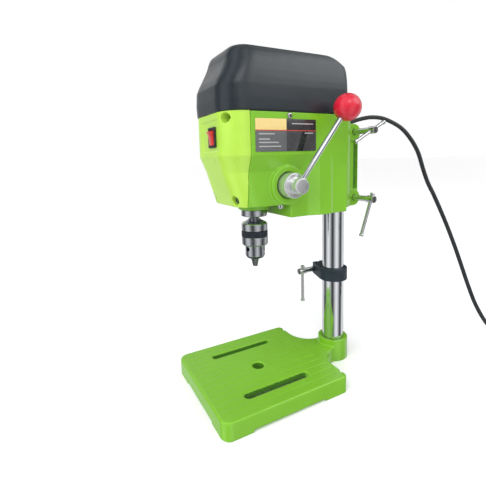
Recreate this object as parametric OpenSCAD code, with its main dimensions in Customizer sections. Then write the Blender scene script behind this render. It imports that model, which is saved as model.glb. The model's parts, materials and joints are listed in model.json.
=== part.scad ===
// Small bench drill press with a belt drive, a rack-fed quill and a key chuck.
// Origin: the column's axis where the base meets the bench.
// +Z is up, -Y is the operator's side, +X is the operator's right (the feed lever's side).

/* [Base] */
// Width of the base plate
base_w = 163; // [150:1:176]
// Front-to-back length of the base plate
base_l = 182; // [176:1:190]
// Height of the work surface above the bench
base_h = 23.6; // [22:0.2:26]
// Width of each clamping slot
slot_w = 10; // [8:0.5:12]
// Distance between the end centres of each slot
slot_run = 87; // [70:1:95]
// Diameter of the hole under the chuck
table_hole_d = 16; // [12:1:18]

/* [Column] */
// Outer diameter of the column tube
column_d = 32; // [31:0.5:32]
// Height of the column's top
column_top = 365; // [358:1:366]
// Distance from the column's axis to the spindle's axis
throat = 137; // [136:0.5:138]

/* [Head] */
// Width of the head
head_w = 108; // [106:1:110]
// Height of the joint between the head and the belt cover
head_top = 366; // [365:0.5:367]
// Height of the lower edge of the head's front part
head_low = 255; // [253:0.5:257]
// Height of the belt cover
cover_h = 75; // [72:1:80]

/* [Drive] */
// Quill travel
quill_stroke = 30; // [20:1:30]
// Outer diameter of the chuck
chuck_d = 35; // [34.6:0.1:35.4]
// Diameter of the ball knob
knob_d = 33; // [28:1:34]

/* [Cord] */
// Diameter of the power cord
cord_d = 6.5; // [6:0.1:7]

/* [Hidden] */
$fn = 64;

// Gap left between parts that slide or turn on each other
fit_gap = 0.05;
eps = 0.01;

column_r = column_d / 2;
spindle_y = -throat;
half_w = head_w / 2;

// ---- base ----
base_rear = -45.4;
base_front = base_rear - base_l;
base_mid_y = (base_rear + base_front) / 2;
front_corner = 12;
rear_corner = 7;
foot_gap = 3.2;
foot_l = 38;
table_wall = 8;
pocket_top = base_h - table_wall;
boss_r = 22.3;
boss_h = 33;
socket_floor = 4;
slot_x = 50;
slot_mid_y = spindle_y;
groove_pitch = 12.4;
groove_w = 1.6;
groove_d = 0.8;
set_screw_z = 18;

// ---- collar ----
collar_z = 126.5;
collar_h = 18;
collar_r = 21.3;
collar_screw_x = -29;
collar_screw_z = collar_z + 9;
clamp_thread_r = 4;
bar_r = 2.4;
bar_cap_r = 3.3;

// ---- head ----
seam_y = -168.5;
seam_gap = 0.4;
front_y = -198;
crease_z = 316;
step_z = 297;
low_half_w = 47;
step_front_y = -191.7;
low_front_y = -178;
corner_r = 28;
head_rear = -22;
block_front = -112;
block_mid = -70;
block_half_w = 49;
block_low = 238.5;
wall = 4;
shelf_z = 350;
shelf_t = 5;
barrel_r = 21;
barrel_top = 335;
barrel_low = head_low - 8;
quill_r = 16;
clamp_r = 24;
ear_y = 41;
clamp_y = 29;
upper_clamp_z = 347.5;
lower_clamp_z = 250.5;
clamp_bar_x = 46.5;
guide_screw_x = 40;
guide_screw_y = -121;
cover_screw_y = -116;
cover_screw_z = 361.5;
grip_x = -36;
grip_z = 350;

// ---- feed: a 16-tooth, module 0.8 pinion on a rack cut in the quill ----
gear_module = 0.8;
pinion_teeth = 16;
pinion_pitch_r = gear_module * pinion_teeth / 2;
rack_line = 14;
pinion_y = spindle_y + rack_line + pinion_pitch_r;
pinion_z = 279.3;
tooth_pitch = PI * gear_module;
boss_face_x = 52;
lever_x = 71;
knob_c = [80, -50, 370];

// ---- drive ----
motor_y = -68;
pulley_z = 368;
step_h = 9;
spindle_steps = [28, 23.5, 19];
motor_steps = [10.5, 15, 19.5];
groove_depth = 3.8;

// ---- chuck ----
chuck_r = chuck_d / 2;
nose_r = 13.2;
jaw_tilt = 15;
jaw_r = 2.6;
jaw_low = 169;
jaw_len = 38;
jaw_axis_r = 0.6;
chuck_turn = 14;
sleeve_top = 218.4;
flange_low = 218.7;

// ---- cord route: from the cord grip to the coil, then from the coil to the plug ----
coil_c = [166, 226];
coil_outer_r = 42;
coil_inner_r = 28;
cord_route = [[-36, 11, 350], [-36, 15, 350], [-36, 20, 350.2], [-36, 30, 353.6],
    [-34, 46, 360.6], [-29, 67, 368], [-22, 83, 372.5],
    [-15, 98, 374], [-6, 115, 370.5], [5, 138, 357], [12, 154, 339], [17, 168, 316],
    [20, 178, 289], [23, 187, 266], [28, 198, 243], [34, 210, 215], [41, 222, 183],
    [48, 233, 150], [55, 243, 116], [63, 251.5, 82], [73, 258.5, 50], [88, 264, 23],
    [107, 267, 8.5], [127, 268, 3.8], [146, 268, 3.3], [166, 268, 3.3]];
plug_route = [[208, 226, 9.9], [208, 214, 9.7], [207, 203, 8.2], [205, 192, 6.4],
    [202, 182, 6.8], [201.5, 175, 7], [201.5, 171, 7]];

// ======== shared shapes ========

// Cylinder along +X from x1 to x2 through the point (y, z)
module bar_x(x1, x2, y, z, r) {
    translate([x1, y, z])
        rotate([0, 90, 0])
            cylinder(h = x2 - x1, r = r);
}

// Cylinder along +Y from y1 to y2 through the point (x, z)
module bar_y(y1, y2, x, z, r) {
    translate([x, y1, z])
        rotate([-90, 0, 0])
            cylinder(h = y2 - y1, r = r);
}

// Ring about Z at the spindle's axis
module spindle_ring(z1, z2, r_out, r_in) {
    translate([0, spindle_y, z1])
        difference() {
            cylinder(h = z2 - z1, r = r_out);
            translate([0, 0, -1])
                cylinder(h = z2 - z1 + 2, r = r_in);
        }
}

// Rectangle from (x1, y1) to (x2, y2) with corners of radius r
module round_rect(x1, y1, x2, y2, r) {
    translate([x1 + r, y1])
        square([x2 - x1 - 2 * r, y2 - y1]);
    translate([x1, y1 + r])
        square([x2 - x1, y2 - y1 - 2 * r]);
    for (x = [x1 + r, x2 - r], y = [y1 + r, y2 - r])
        translate([x, y])
            circle(r = r);
}

// Slot outline along Y, centred on the origin, with round ends
module slot_2d(w, run) {
    square([w, run], center = true);
    for (s = [-1, 1])
        translate([0, s * run / 2])
            circle(d = w);
}

// Round bar with a cap at each end, along +Z from z1 to z2 (caps included)
module tommy_bar(z1, z2, cap_h) {
    translate([0, 0, z1])
        cylinder(h = z2 - z1, r = bar_r);
    for (z = [z1, z2 - cap_h])
        translate([0, 0, z])
            cylinder(h = cap_h, r = bar_cap_r);
}

// ======== swept tube ========
function unit(v) = v / norm(v);
function catmull(a, b, c, d, t) = 0.5 * (2 * b + (c - a) * t + (2 * a - 5 * b + 4 * c - d) * t * t
    + (3 * b - a - 3 * c + d) * t * t * t);
function at(p, i) = p[max(0, min(len(p) - 1, i))];
function smooth(p, steps) = concat(
    [for (i = [0:len(p) - 2], k = [0:steps - 1])
        catmull(at(p, i - 1), p[i], p[i + 1], at(p, i + 2), k / steps)], [p[len(p) - 1]]);
function tangent(p, i) = unit(at(p, i + 1) - at(p, i - 1));
sweep_ref = [0.7, -0.5, -0.5];

module sweep_tube(route, r, sides, steps) {
    p = smooth(route, steps);
    n = len(p);
    points = [for (i = [0:n - 1])
        let (t = tangent(p, i), u = unit(cross(t, sweep_ref)), v = cross(t, u))
            for (k = [0:sides - 1]) p[i] + r * (u * cos(360 * k / sides) + v * sin(360 * k / sides))];
    walls = [for (i = [0:n - 2], k = [0:sides - 1])
        [i * sides + k, (i + 1) * sides + k, (i + 1) * sides + (k + 1) % sides,
            i * sides + (k + 1) % sides]];
    start = [for (k = [0:sides - 1]) k];
    finish = [for (k = [sides - 1:-1:0]) (n - 1) * sides + k];
    polyhedron(points = points, faces = concat(walls, [start, finish]));
}

// ======== base and column ========

// Neck between the plate and the column boss, with a hollow curve on each side
module base_neck() {
    difference() {
        translate([-52, base_rear - 2, 0])
            cube([104, -base_rear - 10, base_h]);
        for (s = [-1, 1])
            translate([s * 52, -12, -1])
                cylinder(h = base_h + 2, r = 33.3);
    }
    translate([-18.6, -20, 0])
        cube([37.2, 20, base_h]);
}

module base_pocket(x1, y1, x2, y2) {
    translate([0, 0, -1])
        linear_extrude(pocket_top + 1)
            round_rect(x1, y1, x2, y2, 6);
}

module base_casting() color("yellowgreen") {
    edge_x = base_w / 2 - table_wall;
    edge_front = base_front + table_wall;
    edge_rear = base_rear - table_wall;
    difference() {
        union() {
            linear_extrude(base_h) {
                round_rect(-base_w / 2, base_front, base_w / 2, base_rear - 30, front_corner);
                round_rect(-base_w / 2, base_front + 30, base_w / 2, base_rear, rear_corner);
            }
            base_neck();
            cylinder(h = boss_h, r = boss_r);
        }
        // Socket for the column
        translate([0, 0, socket_floor])
            cylinder(h = boss_h, r = column_r + fit_gap);
        translate([0, 0, boss_h - 1])
            cylinder(h = 1 + eps, r1 = column_r + fit_gap, r2 = column_r + 1);
        // Relief that leaves a foot at each corner
        translate([-base_w / 2 + foot_l, base_front - 1, -1])
            cube([base_w - 2 * foot_l, base_l - 14, foot_gap + 1]);
        translate([-base_w / 2 - 1, base_front + foot_l, -1])
            cube([base_w + 2, base_l - 2 * foot_l, foot_gap + 1]);
        translate([-base_w / 2 + foot_l, base_rear - 20, -1])
            cube([base_w - 2 * foot_l, 26, foot_gap + 1]);
        // Hollow underside, in six pockets between ribs
        for (s = [0, 1]) mirror([s, 0, 0]) {
            base_pocket(30, edge_front, edge_x, base_mid_y - 2);
            base_pocket(30, base_mid_y + 2, edge_x, edge_rear);
        }
        base_pocket(-26, edge_front, 26, spindle_y - 16);
        base_pocket(-26, spindle_y + 16, 26, edge_rear);
        // Clamping slots and the hole under the chuck
        for (s = [-1, 1])
            translate([s * slot_x, slot_mid_y, -1])
                linear_extrude(base_h + 2)
                    slot_2d(slot_w, slot_run);
        translate([0, spindle_y, -1])
            cylinder(h = base_h + 2, d = table_hole_d);
        translate([0, spindle_y, base_h - 1.2])
            cylinder(h = 1.2 + eps, d1 = table_hole_d, d2 = table_hole_d + 2.4);
        // Shallow grooves along the work surface, clear of the hole and the slots
        for (s = [-1, 1], i = [0:5])
            translate([(i + 0.5) * s * groove_pitch - groove_w / 2, base_front + 6, base_h - groove_d])
                if (i < 2) {
                    cube([groove_w, 58, 1]);
                    translate([0, 112, 0])
                        cube([groove_w, 56, 1]);
                } else
                    cube([groove_w, base_l - 12, 1]);
        // Nicks where the rear edge meets the neck's curves
        for (s = [-1, 1])
            translate([s * 68.5 - 3.5, base_rear - 3.4, -1])
                cube([7, 5, base_h + 2]);
        // Thread for the set screw that holds the column
        bar_y(column_r - 1, boss_r + 1, 0, set_screw_z, 3 + fit_gap);
    }
}

module column_tube() color("silver")
    difference() {
        translate([0, 0, socket_floor])
            cylinder(h = column_top - socket_floor, r = column_r);
        translate([0, 0, socket_floor - 1])
            cylinder(h = column_top, r = column_r - 3);
    }

module column_set_screw() color("dimgray")
    difference() {
        bar_y(column_r + fit_gap, boss_r - 0.5, 0, set_screw_z, 3);
        translate([0, boss_r - 3, set_screw_z])
            rotate([-90, 0, 0])
                cylinder(h = 4, r = 1.7, $fn = 6);
    }

// ======== stop collar ========

module stop_collar() color("#22282c")
    difference() {
        union() {
            translate([0, 0, collar_z])
                cylinder(h = collar_h, r = collar_r);
            translate([0, 0, collar_z])
                linear_extrude(collar_h)
                    polygon([[-35.5, -10.5], [-6.8, -20.2], [-6.8, 20.2], [-35.5, 10.5]]);
        }
        translate([0, 0, collar_z - 1])
            cylinder(h = collar_h + 2, r = column_r + fit_gap);
        // Slit that lets the collar close on the column
        translate([-40, -1.25, collar_z - 1])
            cube([26, 2.5, collar_h + 2]);
        bar_y(-20, 20, collar_screw_x, collar_screw_z, clamp_thread_r + fit_gap);
    }

module collar_screw() color("silver")
    difference() {
        union() {
            bar_y(-43, 10, collar_screw_x, collar_screw_z, clamp_thread_r);
            bar_y(-43, -30, collar_screw_x, collar_screw_z, 4.6);
        }
        translate([collar_screw_x, -36, collar_screw_z - 8])
            cylinder(h = 16, r = bar_r + fit_gap);
    }

module collar_bar() color("silver")
    translate([collar_screw_x, -36, 0])
        tommy_bar(collar_screw_z - 49, collar_screw_z + 9, 3.2);

// ======== head ========

// Head outline at one height: flat sides, a front with rounded corners, a straight rear
module head_outline(hw, front, r, rear) {
    translate([-hw, front + r])
        square([2 * hw, rear - front - r]);
    translate([-hw + r, front])
        square([2 * hw - 2 * r, r + 1]);
    for (s = [-1, 1])
        translate([s * (hw - r), front + r])
            circle(r = r);
}

// Hull between two head outlines, each [z, half width, front, corner radius]
module head_zone(upper, lower) {
    hull()
        for (lv = [upper, lower])
            translate([0, 0, lv[0]])
                linear_extrude(eps)
                    head_outline(lv[1], lv[2], lv[3], -60, $fn = 48);
}

// Whole outer form of the head's main part, grown inwards by inset.
// The sides step in below the crease, while the front slopes on down to the lower edge.
module head_form(inset, low, high) {
    hw = half_w - inset;
    fy = front_y + inset;
    crease = [crease_z, hw, fy, corner_r - inset];
    step = [step_z, low_half_w - inset, step_front_y + inset, corner_r - 3 - inset];
    foot = [low, low_half_w - inset, low_front_y + inset, corner_r - 5 - inset];
    translate([0, 0, crease_z])
        linear_extrude(high - crease_z)
            head_outline(hw, fy, corner_r - inset, -60);
    head_zone(crease, step);
    head_zone(step, foot);
}

// Face that slopes outwards from the narrow block to the full width at the rear, on each side
module flank_ramp() {
    translate([0, 0, block_low])
        linear_extrude(step_z + 15 - block_low)
            polygon([[40, -90], [block_half_w, -86], [half_w, block_mid], [half_w, block_mid + 10],
                [40, block_mid + 10]]);
}

// Shallow panel pressed into each rear flank, with sloping edges above and in front
module rear_panel() {
    hull() {
        translate([half_w, -52, block_low - 5])
            cube([1, 40, crease_z + 7 - block_low]);
        translate([half_w - 2, -47, block_low - 5])
            cube([1, 40, step_z + 6 - block_low]);
    }
}

module head_shell() {
    difference() {
        union() {
            for (s = [0, 1]) mirror([s, 0, 0])
                flank_ramp();
            head_form(0, head_low, head_top);
            translate([-half_w, block_mid, block_low])
                cube([head_w, head_rear - block_mid, head_top - block_low]);
            translate([-block_half_w, block_front, block_low])
                cube([2 * block_half_w, block_mid - block_front + 2, crease_z - block_low - 30]);
        }
        // Everything in front of the seam belongs to the front cover
        translate([-100, -260, 200])
            cube([200, 260 + seam_y, 200]);
        // Room for the motor
        head_form(wall, head_low + wall, head_top + 1);
        translate([-half_w + wall, block_mid + wall, block_low + wall])
            cube([head_w - 2 * wall, head_rear - block_mid - 2 * wall, head_top]);
        translate([wall - block_half_w, block_front + wall, block_low + wall])
            cube([2 * (block_half_w - wall), 60, crease_z - block_low]);
    }
}

module clamp_ears() {
    translate([0, 0, block_low])
        cylinder(h = head_top - block_low - 1, r = clamp_r);
    translate([-20, head_rear - 4, block_low])
        cube([40, 12, head_top - block_low - 1]);
    translate([-9, 10, block_low + 12])
        cube([18, ear_y - 10, head_top - block_low - 25]);
    for (z = [upper_clamp_z, lower_clamp_z]) {
        bar_x(-13.5, 13.5, clamp_y, z, 12);
        translate([-13.5, 14, z - 12])
            cube([27, 15, 24]);
    }
}

module head_casting() color("yellowgreen")
    difference() {
        union() {
            head_shell();
            clamp_ears();
            // Shelf that carries the motor and the pulley bearings
            intersection() {
                translate([-half_w + 1, seam_y, shelf_z])
                    cube([head_w - 2, head_rear - seam_y - 1, shelf_t]);
                translate([0, 0, crease_z])
                    linear_extrude(head_top - crease_z)
                        head_outline(half_w - 1, front_y + 1, corner_r - 1, -60);
            }
            translate([-half_w + 1, block_mid, shelf_z])
                cube([head_w - 2, head_rear - block_mid - 2, shelf_t]);
            spindle_ring(343, 360, 16.5, 1);
            // Quill barrel and the web that ties it to the head
            spindle_ring(barrel_low, barrel_top, barrel_r, 1);
            translate([-10, pinion_y, head_low])
                cube([20, 9, barrel_top - head_low]);
            // Boss across the head for the pinion shaft
            bar_x(-50, 50, pinion_y, pinion_z, 15);
            bar_x(34, boss_face_x, pinion_y, pinion_z, 24);
            bar_x(-boss_face_x, -38, pinion_y, pinion_z, 20);
        }
        for (s = [0, 1]) mirror([s, 0, 0])
            rear_panel();
        // Column bore and the slit that lets it close
        translate([0, 0, block_low - 1])
            cylinder(h = head_top, r = column_r + fit_gap);
        translate([-1.5, 0, block_low - 1])
            cube([3, 60, head_top]);
        for (z = [upper_clamp_z, lower_clamp_z])
            bar_x(-20, 20, clamp_y, z, clamp_thread_r + fit_gap);
        // Sunk field on each ear, between its two bosses
        for (s = [0, 1]) mirror([s, 0, 0])
            translate([4.5, clamp_y + 3, lower_clamp_z + 13])
                cube([12, ear_y - clamp_y - 4.4, upper_clamp_z - lower_clamp_z - 26]);
        // Quill bore, bearing seat and the pinion's bore
        translate([0, spindle_y, barrel_low - 1])
            cylinder(h = barrel_top + 1 - barrel_low, r = quill_r + fit_gap);
        translate([0, spindle_y, barrel_top - 5])
            cylinder(h = 40, r = 12.05);
        bar_x(-60, 60, pinion_y, pinion_z, 8);
        bar_x(40.5, 60, pinion_y, pinion_z, 16.2);
        // Motor spigot and its two screws
        translate([0, motor_y, shelf_z - 1])
            cylinder(h = shelf_t + 2, r = 10.2);
        for (s = [-1, 1])
            translate([s * 20, motor_y, shelf_z - 1])
                cylinder(h = shelf_t + 2, r = 2.1);
        // Hole for the guide screw under the head
        translate([guide_screw_x, guide_screw_y, head_low - 1])
            cylinder(h = 12, r = 2.5 + fit_gap);
        // Hole for the cord grip
        bar_y(head_rear - 8, head_rear + 1, grip_x, grip_z, 5.05);
        // Screw holes for the belt cover
        for (s = [-1, 1])
            bar_x(s > 0 ? half_w - 6 : -half_w - 1, s > 0 ? half_w + 1 : -half_w + 6,
                cover_screw_y, cover_screw_z, 2.05);
    }

// Front cover screws: x, z and how far each head's face stands in front of the seam
cover_screw_pos = [[40, 358.5, 14], [-40, 358.5, 14], [30, 263.5, 9], [-30, 263.5, 9]];
pocket_r = 5.6;

module front_cover() color("#a9d552") {
    difference() {
        head_form(0, head_low, head_top);
        translate([-100, seam_y - seam_gap, 200])
            cube([200, 200, 200]);
        difference() {
            head_form(3, head_low + 3, head_top + 1);
            // Pillars round the screws
            for (p = cover_screw_pos)
                bar_y(front_y, seam_y, p[0], p[1], pocket_r + 2.2);
        }
        for (p = cover_screw_pos) {
            bar_y(front_y - 5, seam_y + 4 - p[2], p[0], p[1], pocket_r);
            bar_y(front_y - 5, seam_y + 5, p[0], p[1], 2.1);
        }
        // Shallow field round the switch, and its window
        translate([-19, front_y - 1, 322])
            cube([48, 2, 36]);
        translate([switch_x - 9.6, front_y - 1, switch_z - 10.6])
            cube([19.2, 10, 21.2]);
    }
}

module front_cover_screws() color("dimgray")
    for (p = cover_screw_pos)
        difference() {
            union() {
                bar_y(seam_y - p[2], seam_y + 4 - p[2], p[0], p[1], 3.6);
                bar_y(seam_y + 3 - p[2], seam_y - 1, p[0], p[1], 2);
            }
            translate([p[0] - 0.5, seam_y - 1 - p[2], p[1] - 2.6])
                cube([1, 2.4, 5.2]);
            translate([p[0] - 2.6, seam_y - 1 - p[2], p[1] - 0.5])
                cube([5.2, 2.4, 1]);
        }

// Belt cover: outlines at rising heights, joined into one shell.
// Each level is [height, half width, front, rear, corner radius].
cover_levels = [[0, 55, -198.6, -21, 28], [14, 55, -199.4, -20.6, 28], [30, 54.6, -198.4, -20.3, 28],
    [38, 54, -195, -20.2, 28], [46, 53, -190.5, -20.1, 27], [54, 51.4, -186.4, -20.1, 26],
    [60, 49.7, -183.8, -21, 25], [66, 47.4, -182, -28, 23], [70, 45.4, -180.4, -34, 21.5],
    [73, 42.6, -178.6, -40, 19], [75, 37.4, -175.4, -47.5, 15]];
arc_n = 8;

function cover_ring(lv, inset, z) =
    let (hw = lv[1] - inset, yf = lv[2] + inset, yr = lv[3] - inset, rf = lv[4] - inset * 0.6, rr = 9)
    concat(
        [for (k = [0:arc_n]) let (a = -90 + 90 * k / arc_n)
            [hw - rf + rf * cos(a), yf + rf + rf * sin(a), z]],
        [for (k = [0:arc_n]) let (a = 90 * k / arc_n)
            [hw - rr + rr * cos(a), yr - rr + rr * sin(a), z]],
        [for (k = [0:arc_n]) let (a = 90 + 90 * k / arc_n)
            [-hw + rr + rr * cos(a), yr - rr + rr * sin(a), z]],
        [for (k = [0:arc_n]) let (a = 180 + 90 * k / arc_n)
            [-hw + rf + rf * cos(a), yf + rf + rf * sin(a), z]]);

module cover_solid(inset, base_z, squash) {
    n = 4 * (arc_n + 1);
    m = len(cover_levels);
    points = [for (i = [0:m - 1])
        each cover_ring(cover_levels[i], inset,
            i == 0 ? base_z : head_top + cover_levels[i][0] * cover_h / 75 - squash)];
    walls = [for (i = [0:m - 2], k = [0:n - 1]) each [
        [i * n + k, (i + 1) * n + k, (i + 1) * n + (k + 1) % n],
        [i * n + k, (i + 1) * n + (k + 1) % n, i * n + (k + 1) % n]]];
    bottom = [for (k = [0:n - 1]) k];
    top = [for (k = [n - 1:-1:0]) (m - 1) * n + k];
    polyhedron(points = points, faces = concat(walls, [bottom, top]));
}

module belt_cover() color("#343a40")
    difference() {
        cover_solid(0, head_top, 0);
        cover_solid(3, head_top - 2, 3);
    }

module belt_cover_screws() color("silver")
    for (s = [0, 1]) mirror([s, 0, 0])
        difference() {
            union() {
                bar_x(half_w, half_w + 2.2, cover_screw_y, cover_screw_z, 3.6);
                bar_x(half_w - 7, half_w + 1, cover_screw_y, cover_screw_z, 2);
            }
            translate([half_w + 1.2, cover_screw_y - 0.5, cover_screw_z - 3])
                cube([2, 1, 6]);
        }

module nameplate() color("dimgray")
    translate([half_w, -163, 320])
        cube([0.6, 86, 37.6]);

switch_x = 12;
switch_z = 338.5;
rocker_tilt = 12;
face_y = front_y + 1;
pin_r = 1.4;

module switch_body() color("#1c1e20")
    difference() {
        union() {
            translate([switch_x - 10.5, face_y - 2, switch_z - 12])
                cube([21, 2, 24]);
            translate([switch_x - 9.2, face_y - 1, switch_z - 10.2])
                cube([18.4, 21, 20.4]);
        }
        translate([switch_x - 7, face_y - 3, switch_z - 9.4])
            cube([14, 12, 18.8]);
        bar_x(switch_x - 8.6, switch_x + 8.6, face_y, switch_z, pin_r + fit_gap);
    }

module switch_rocker() color("firebrick") {
    bar_x(switch_x - 8.4, switch_x + 8.4, face_y, switch_z, pin_r);
    translate([switch_x, face_y, switch_z])
        rotate([rocker_tilt, 0, 0])
            rotate([0, 90, 0])
                translate([0, 0, -6.6])
                    linear_extrude(13.2)
                        difference() {
                            translate([-8.3, -4.4])
                                square([16.6, 9.8]);
                            translate([0, -30])
                                circle(r = 27);
                        }
}

module quill_guide_screw() color("silver")
    difference() {
        union() {
            translate([guide_screw_x, guide_screw_y, head_low - 6])
                cylinder(h = 6 - eps, r = 4.6);
            translate([guide_screw_x, guide_screw_y, head_low - 1])
                cylinder(h = 9, r = 2.5);
        }
        translate([guide_screw_x - 5, guide_screw_y - 0.7, head_low - 7])
            cube([10, 1.4, 3]);
    }

// ======== column clamp screws ========

module clamp_screw(z) color("silver")
    difference() {
        union() {
            bar_x(-13, 41, clamp_y, z, clamp_thread_r);
            bar_x(40, 52.5, clamp_y, z, 5);
        }
        children();
    }

// Places a bar drawn along Z so that it passes through a clamp screw's head at the given angle
module at_clamp(z, angle) {
    translate([clamp_bar_x, clamp_y, z])
        rotate([angle, 0, 0])
            children();
}

upper_bar_angle = 117;
lower_bar_angle = 160;

module upper_clamp_screw() clamp_screw(upper_clamp_z)
    at_clamp(upper_clamp_z, upper_bar_angle)
        cylinder(h = 20, r = bar_r + fit_gap, center = true);

module upper_clamp_bar() color("silver")
    at_clamp(upper_clamp_z, upper_bar_angle)
        tommy_bar(-26, 38, 3);

module lower_clamp_screw() clamp_screw(lower_clamp_z)
    at_clamp(lower_clamp_z, lower_bar_angle)
        cylinder(h = 20, r = bar_r + fit_gap, center = true);

module lower_clamp_bar() color("silver")
    at_clamp(lower_clamp_z, lower_bar_angle)
        tommy_bar(-9, 55, 3);

// ======== motor ========

module motor_can() color("gray")
    translate([0, motor_y, 0])
        difference() {
            union() {
                difference() {
                    translate([0, 0, 262])
                        cylinder(h = shelf_z - 262, r = 32);
                    translate([0, 0, 261])
                        cylinder(h = shelf_z - 264, r = 30);
                }
                translate([0, 0, 340])
                    cylinder(h = shelf_z - 340, r = 12);
                translate([0, 0, shelf_z - 1])
                    cylinder(h = shelf_t, r = 10);
            }
            translate([0, 0, 339])
                cylinder(h = 9, r = 8.05);
            translate([0, 0, 345])
                cylinder(h = 12, r = 5);
            for (s = [-1, 1])
                translate([s * 20, 0, 340])
                    cylinder(h = 20, r = 2.02);
        }

module motor_end_bell() color("#30343a")
    translate([0, motor_y, 0])
        difference() {
            union() {
                translate([0, 0, 255])
                    cylinder(h = 7, r = 32);
                translate([0, 0, 246])
                    cylinder(h = 10, r = 12);
            }
            translate([0, 0, 247])
                cylinder(h = 7, r = 8.05);
            translate([0, 0, 245])
                cylinder(h = 20, r = 5);
        }

module motor_magnets() color("#3c3c40")
    translate([0, motor_y, 278])
        difference() {
            cylinder(h = 56, r = 29.9);
            translate([0, 0, -1])
                cylinder(h = 58, r = 22);
            for (a = [45, 135])
                rotate([0, 0, a])
                    translate([-40, -3, -1])
                        cube([80, 6, 58]);
        }

module motor_armature() color("#7a4a2a")
    translate([0, motor_y, 286])
        difference() {
            union() {
                cylinder(h = 42, r = 21);
                translate([0, 0, -5])
                    cylinder(h = 52, r = 15);
            }
            translate([0, 0, -6])
                cylinder(h = 60, r = 4.02);
            for (a = [0:30:330])
                rotate([0, 0, a])
                    translate([17, -1, -6])
                        cube([5, 2, 60]);
        }

module motor_shaft() color("silver")
    translate([0, motor_y, 245])
        cylinder(h = 152, r = 4);

module motor_commutator() color("#b87333")
    translate([0, motor_y, 266])
        difference() {
            cylinder(h = 12, r = 10);
            translate([0, 0, -1])
                cylinder(h = 14, r = 4.02);
            for (a = [0:30:330])
                rotate([0, 0, a])
                    translate([9, -0.4, -1])
                        cube([2, 0.8, 14]);
        }

module motor_brushes() color("#2a2a2a")
    for (s = [-1, 1])
        translate([s > 0 ? 10.3 : -29.7, motor_y - 2.5, 268])
            cube([19.4, 5, 7]);

module motor_fan() color("#e8e4d0")
    translate([0, motor_y, 336])
        difference() {
            union() {
                cylinder(h = 2, r = 22);
                cylinder(h = 3.5, r = 7);
                for (a = [0:45:315])
                    rotate([0, 0, a])
                        translate([8, -0.6, 0])
                            cube([13, 1.2, 3.6]);
            }
            translate([0, 0, -1])
                cylinder(h = 6, r = 4.02);
        }

module motor_bearings() color("silver")
    for (z = [247, 341])
        translate([0, motor_y, z])
            difference() {
                cylinder(h = 7, r = 8);
                translate([0, 0, -1])
                    cylinder(h = 9, r = 4 + fit_gap);
            }

module motor_screws() color("silver")
    for (s = [-1, 1])
        translate([s * 20, motor_y, 0])
            difference() {
                union() {
                    translate([0, 0, 345])
                        cylinder(h = 11, r = 2);
                    translate([0, 0, shelf_z + shelf_t])
                        cylinder(h = 3, r = 3.8);
                }
                translate([0, 0, shelf_z + shelf_t + 1])
                    cylinder(h = 3, r = 1.6, $fn = 6);
            }

// ======== belt drive ========

// Three-step pulley standing on z = pulley_z, with a V groove in each step
module step_pulley(radii, bore_r)
    translate([0, 0, pulley_z])
        rotate_extrude()
            polygon(concat([[bore_r, 0]],
                [for (i = [0:2]) each [
                    [radii[i], i * step_h], [radii[i], i * step_h + 0.9],
                    [radii[i] - groove_depth, i * step_h + 2], [radii[i] - groove_depth, i * step_h + 7],
                    [radii[i], i * step_h + 8.1], [radii[i], i * step_h + 8.9]]],
                [[radii[2], 3 * step_h], [bore_r, 3 * step_h]]));

module motor_pulley() color("silver")
    translate([0, motor_y, 0])
        step_pulley(motor_steps, 4.02);

module spindle_pulley() color("silver")
    translate([0, spindle_y, 0])
        step_pulley(spindle_steps, 6.02);

// Outline round two wheels of the given radii, at the motor's and the spindle's axes
module belt_outline(motor_r, spindle_r) {
    lean = asin((spindle_r - motor_r) / (motor_y - spindle_y));
    translate([0, motor_y])
        circle(r = motor_r, $fn = 96);
    translate([0, spindle_y])
        circle(r = spindle_r, $fn = 96);
    polygon([[spindle_r * cos(lean), spindle_y + spindle_r * sin(lean)],
        [motor_r * cos(lean), motor_y + motor_r * sin(lean)],
        [-motor_r * cos(lean), motor_y + motor_r * sin(lean)],
        [-spindle_r * cos(lean), spindle_y + spindle_r * sin(lean)]]);
}

module drive_belt() color("#1a1a1a")
    translate([0, 0, pulley_z + 2.4])
        linear_extrude(4.2)
            difference() {
                belt_outline(motor_steps[0] + 0.4, spindle_steps[0] + 0.4);
                belt_outline(motor_steps[0] - 3.4, spindle_steps[0] - 3.4);
            }

module pulley_sleeve() color("gray")
    spindle_ring(344, 396, 6, 4.6);

module pulley_bearings() color("silver") {
    spindle_ring(345, 351, 12, 6 + fit_gap);
    spindle_ring(353, 359, 12, 6 + fit_gap);
}

// ======== quill and spindle ========

module quill() color("silver")
    difference() {
        translate([0, spindle_y, 246])
            cylinder(h = 90, r = quill_r);
        translate([0, spindle_y, 245])
            cylinder(h = 92, r = 10.5);
        for (z = [245, 327])
            translate([0, spindle_y, z])
                cylinder(h = 10, r = 13.05);
        // Rack
        translate([-8.6, spindle_y + rack_line + gear_module, pinion_z - 17.3])
            cube([17.2, 4, quill_stroke + 29]);
        for (i = [-3:floor(quill_stroke / tooth_pitch) + 3])
            translate([-8.6, spindle_y + rack_line, pinion_z + i * tooth_pitch])
                rotate([90, 0, 90])
                    linear_extrude(17.2)
                        polygon([[-1.1, -0.42], [-1.1, 0.42], [0.9, 1.12], [0.9, -1.12]]);
    }

module quill_nut() color("silver")
    difference() {
        spindle_ring(237.7, 246, 17.3, 9);
        for (a = [0:60:300])
            translate([0, spindle_y, 0])
                rotate([0, 0, a + 30])
                    translate([16.3, -1.5, 240])
                        cube([3, 3, 4]);
    }

module quill_bearings() color("silver") {
    spindle_ring(247, 255, 13, 6 + fit_gap);
    spindle_ring(327, 335, 13, 6 + fit_gap);
}

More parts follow.
